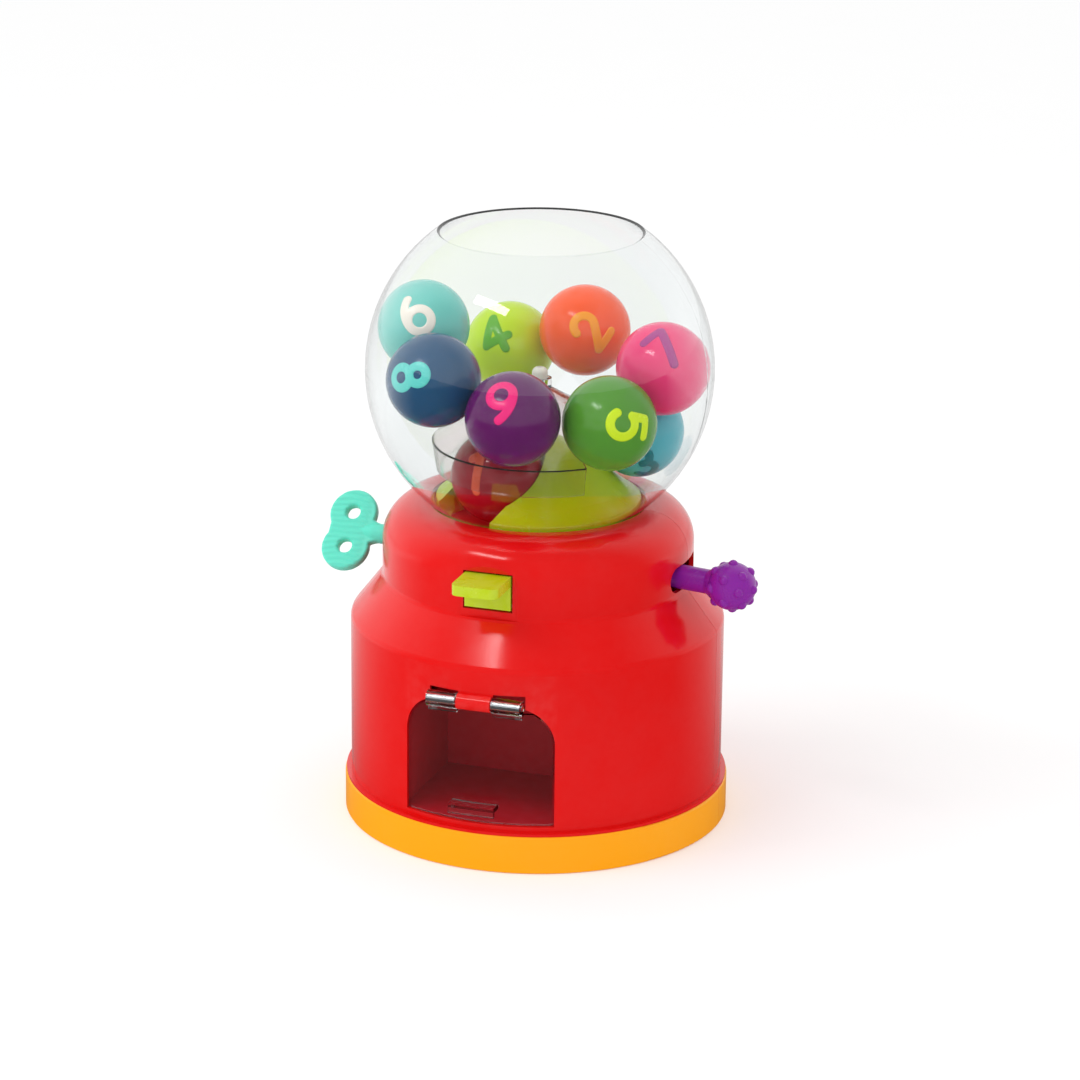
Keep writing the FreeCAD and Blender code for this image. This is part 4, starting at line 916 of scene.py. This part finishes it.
@dataclass
class PressSpring:
    """Wire coil over the front lever's arm."""

    coil_radius: float = 3.15
    wire_radius: float = 0.35
    turns: float = 4.5
    steps_a_turn: int = 28
    sides: int = 10
    pressed_share: float = 0.68

    def build(self) -> list[bpy.types.Object]:
        """Makes the coil between the lever and the deck, and sets it on the machine's body."""
        low, high = (Vector(corner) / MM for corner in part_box("press_spring"))
        middle = (low + high) / 2
        rise = high.z - low.z - 2 * self.wire_radius
        count = int(self.turns * self.steps_a_turn)
        rings = []
        for k in range(count + 1):
            angle = 2 * math.pi * k / self.steps_a_turn
            out = Vector((math.cos(angle), math.sin(angle), 0))
            centre = Vector((middle.x, middle.y, low.z + self.wire_radius + rise * k / count))
            centre += out * self.coil_radius
            turns = [2 * math.pi * side / self.sides for side in range(self.sides)]
            rings.append([(centre + (out * math.cos(t) + UPWARD * math.sin(t)) * self.wire_radius) * MM
                          for t in turns])
        vertices, faces = skinned(rings)
        piece = new_piece("press_coil", vertices, faces, SLOT_FINISHES["steel"])
        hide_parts("press_spring")
        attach(piece, Body.MACHINE.value)
        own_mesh(piece)
        return [piece]


@dataclass
class FrameDressing:
    """Gives every CAD node that still shows its finish."""

    frame: dict
    kept: list[str] = field(default_factory=list)

    def dress(self) -> list[str]:
        """Puts each node's finish in its material slot.

        Returns:
            The names of the nodes that were dressed.
        """
        for name, node in self.frame["nodes"].items():
            slot = node.material_slots[0]
            finish = NODE_FINISHES.get(name) or SLOT_FINISHES.get(slot.name)
            if finish is None:
                continue
            slot.material = finish.material()
            self.kept.append(name)
        return self.kept


@dataclass
class Studio:
    """Pale floor, soft lamps and the camera."""

    azimuth: float = 18.43
    elevation: float = 18.05
    distance: float = 1.9617
    roll: float = 0.562
    lens: float = 128.03
    aim: tuple[float, float, float] = (0.000825, 0.000275, 0.1428)
    floor_half: float = 6.0
    floor_cells: int = 8
    floor_drop: float = 0.0002
    fill: float = 0.98
    backdrop: float = 1.05
    sweep_lift: float = 0.15
    room_gloss: float = 0.10
    sweep_gloss: float = 1.0
    room_edge: float = -0.15
    sweep_edge: float = 0.55

    def towards(self, azimuth: float, elevation: float, distance: float) -> Vector:
        """A point seen from the aim at an azimuth, elevation and distance."""
        turn, lift = math.radians(azimuth), math.radians(elevation)
        back = Vector((math.sin(turn) * math.cos(lift), -math.cos(turn) * math.cos(lift), math.sin(lift)))
        return Vector(self.aim) + back * distance

    def camera(self) -> None:
        """Sets up the camera."""
        data = bpy.data.cameras.new("studio_camera")
        data.lens = self.lens
        data.sensor_width = 36.0
        data.clip_end = 50.0
        camera = bpy.data.objects.new("studio_camera", data)
        place = self.towards(self.azimuth, self.elevation, self.distance)
        facing = (Vector(self.aim) - place).to_track_quat("-Z", "Y").to_matrix().to_4x4()
        rolled = facing @ Matrix.Rotation(math.radians(self.roll), 4, "Z")
        camera.matrix_world = Matrix.Translation(place) @ rolled
        bpy.context.scene.collection.objects.link(camera)
        bpy.context.scene.camera = camera

    def softbox(self, name: str, azimuth: float, elevation: float, distance: float, size: Point2,
                watts: float, mirrored: bool = True) -> None:
        """Adds one rectangular lamp aimed at the machine.

        Args:
            name: the lamp's name.
            azimuth: its direction in degrees, as the camera's is given.
            elevation: its height in degrees.
            distance: how far it is in metres.
            size: its width and height in metres.
            watts: its power.
            mirrored: whether it shows in glosses.
        """
        data = bpy.data.lights.new(name, "AREA")
        data.shape = "RECTANGLE"
        data.size, data.size_y = size
        data.energy = watts
        lamp = bpy.data.objects.new(name, data)
        lamp.visible_glossy = mirrored
        lamp.visible_transmission = mirrored
        place = self.towards(azimuth, elevation, distance)
        lamp.matrix_world = (Matrix.Translation(place)
                             @ (Vector(self.aim) - place).to_track_quat("-Z", "Y").to_matrix().to_4x4())
        bpy.context.scene.collection.objects.link(lamp)

    def surround(self) -> None:
        """Makes the surround: a white sweep behind, and a dimmer room in front for the glosses."""
        world = bpy.data.worlds.new("pale_surround")
        world.use_nodes = True
        world.node_tree.nodes.clear()
        bench = NodeBench(world.node_tree)
        turn = math.radians(self.azimuth)
        away = (-math.sin(turn), math.cos(turn), self.sweep_lift)
        direction = bench.add("ShaderNodeTexCoord").outputs["Generated"]
        facing = bench.along(direction, away)
        gloss = bench.stretched(facing, self.room_edge, self.sweep_edge, self.room_gloss, self.sweep_gloss)
        mirrored = mirrored_only(bench)
        lit = bench.maths("MULTIPLY", gloss, mirrored)
        rest = bench.maths("MULTIPLY", bench.maths("SUBTRACT", 1.0, mirrored), self.fill)
        glow = bench.add("ShaderNodeBackground", {"Color": WHITE, "Strength": bench.maths("ADD", lit, rest)})
        seen = bench.add("ShaderNodeBackground", {"Color": WHITE, "Strength": self.backdrop})
        ray = bench.add("ShaderNodeLightPath").outputs
        clear = bench.maths("MAXIMUM", ray["Is Camera Ray"], ray["Is Transmission Ray"])
        mixed = bench.add("ShaderNodeMixShader", {0: clear, 1: glow.outputs[0], 2: seen.outputs[0]})
        bench.add("ShaderNodeOutputWorld", {"Surface": mixed.outputs[0]})
        bpy.context.scene.world = world

    def floor(self) -> None:
        """Lays the floor under the machine."""
        row = self.floor_cells + 1
        steps = np.linspace(-self.floor_half, self.floor_half, row)
        vertices = [(x, y, -self.floor_drop) for x in steps for y in steps]
        corners = [i * row + j for i in range(self.floor_cells) for j in range(self.floor_cells)]
        faces = [(at, at + row, at + row + 1, at + 1) for at in corners]
        new_piece("studio_floor", vertices, faces, PaleFloor())

    def build(self) -> None:
        """Sets up the whole studio."""
        self.camera()
        self.surround()
        self.floor()
        self.softbox("key_softbox", -30, 52, 1.5, (0.6, 0.13), 2.4)
        self.softbox("fill_softbox", -60, 40, 1.6, (0.7, 0.7), 5.0, mirrored=False)
        bpy.context.scene.view_settings.view_transform = "Standard"


# ---------------------------------------------------------------- the machine


def main() -> None:
    """Builds the looks in order and reports each piece."""
    logging.basicConfig(level=logging.INFO, format="%(name)s: %(message)s")
    for make_group in (make_mould_skin, make_colour_drift, make_handling_marks, make_painted_edge_highlight):
        make_group()
    Studio().build()
    balls = [NumberBall(look, Body.CAROUSEL if look.digit == 1 else Body.MACHINE) for look in BALL_LOOKS]
    for part in (*balls, WindKey(), PressSpring()):
        for piece in part.build():
            log.info("%s: %d faces", piece.name, len(piece.data.polygons))
    dressed = FrameDressing(frame).dress()
    log.info("dressed %d nodes of the frame: %s", len(dressed), ", ".join(dressed))


if __name__ == "__main__":
    main()
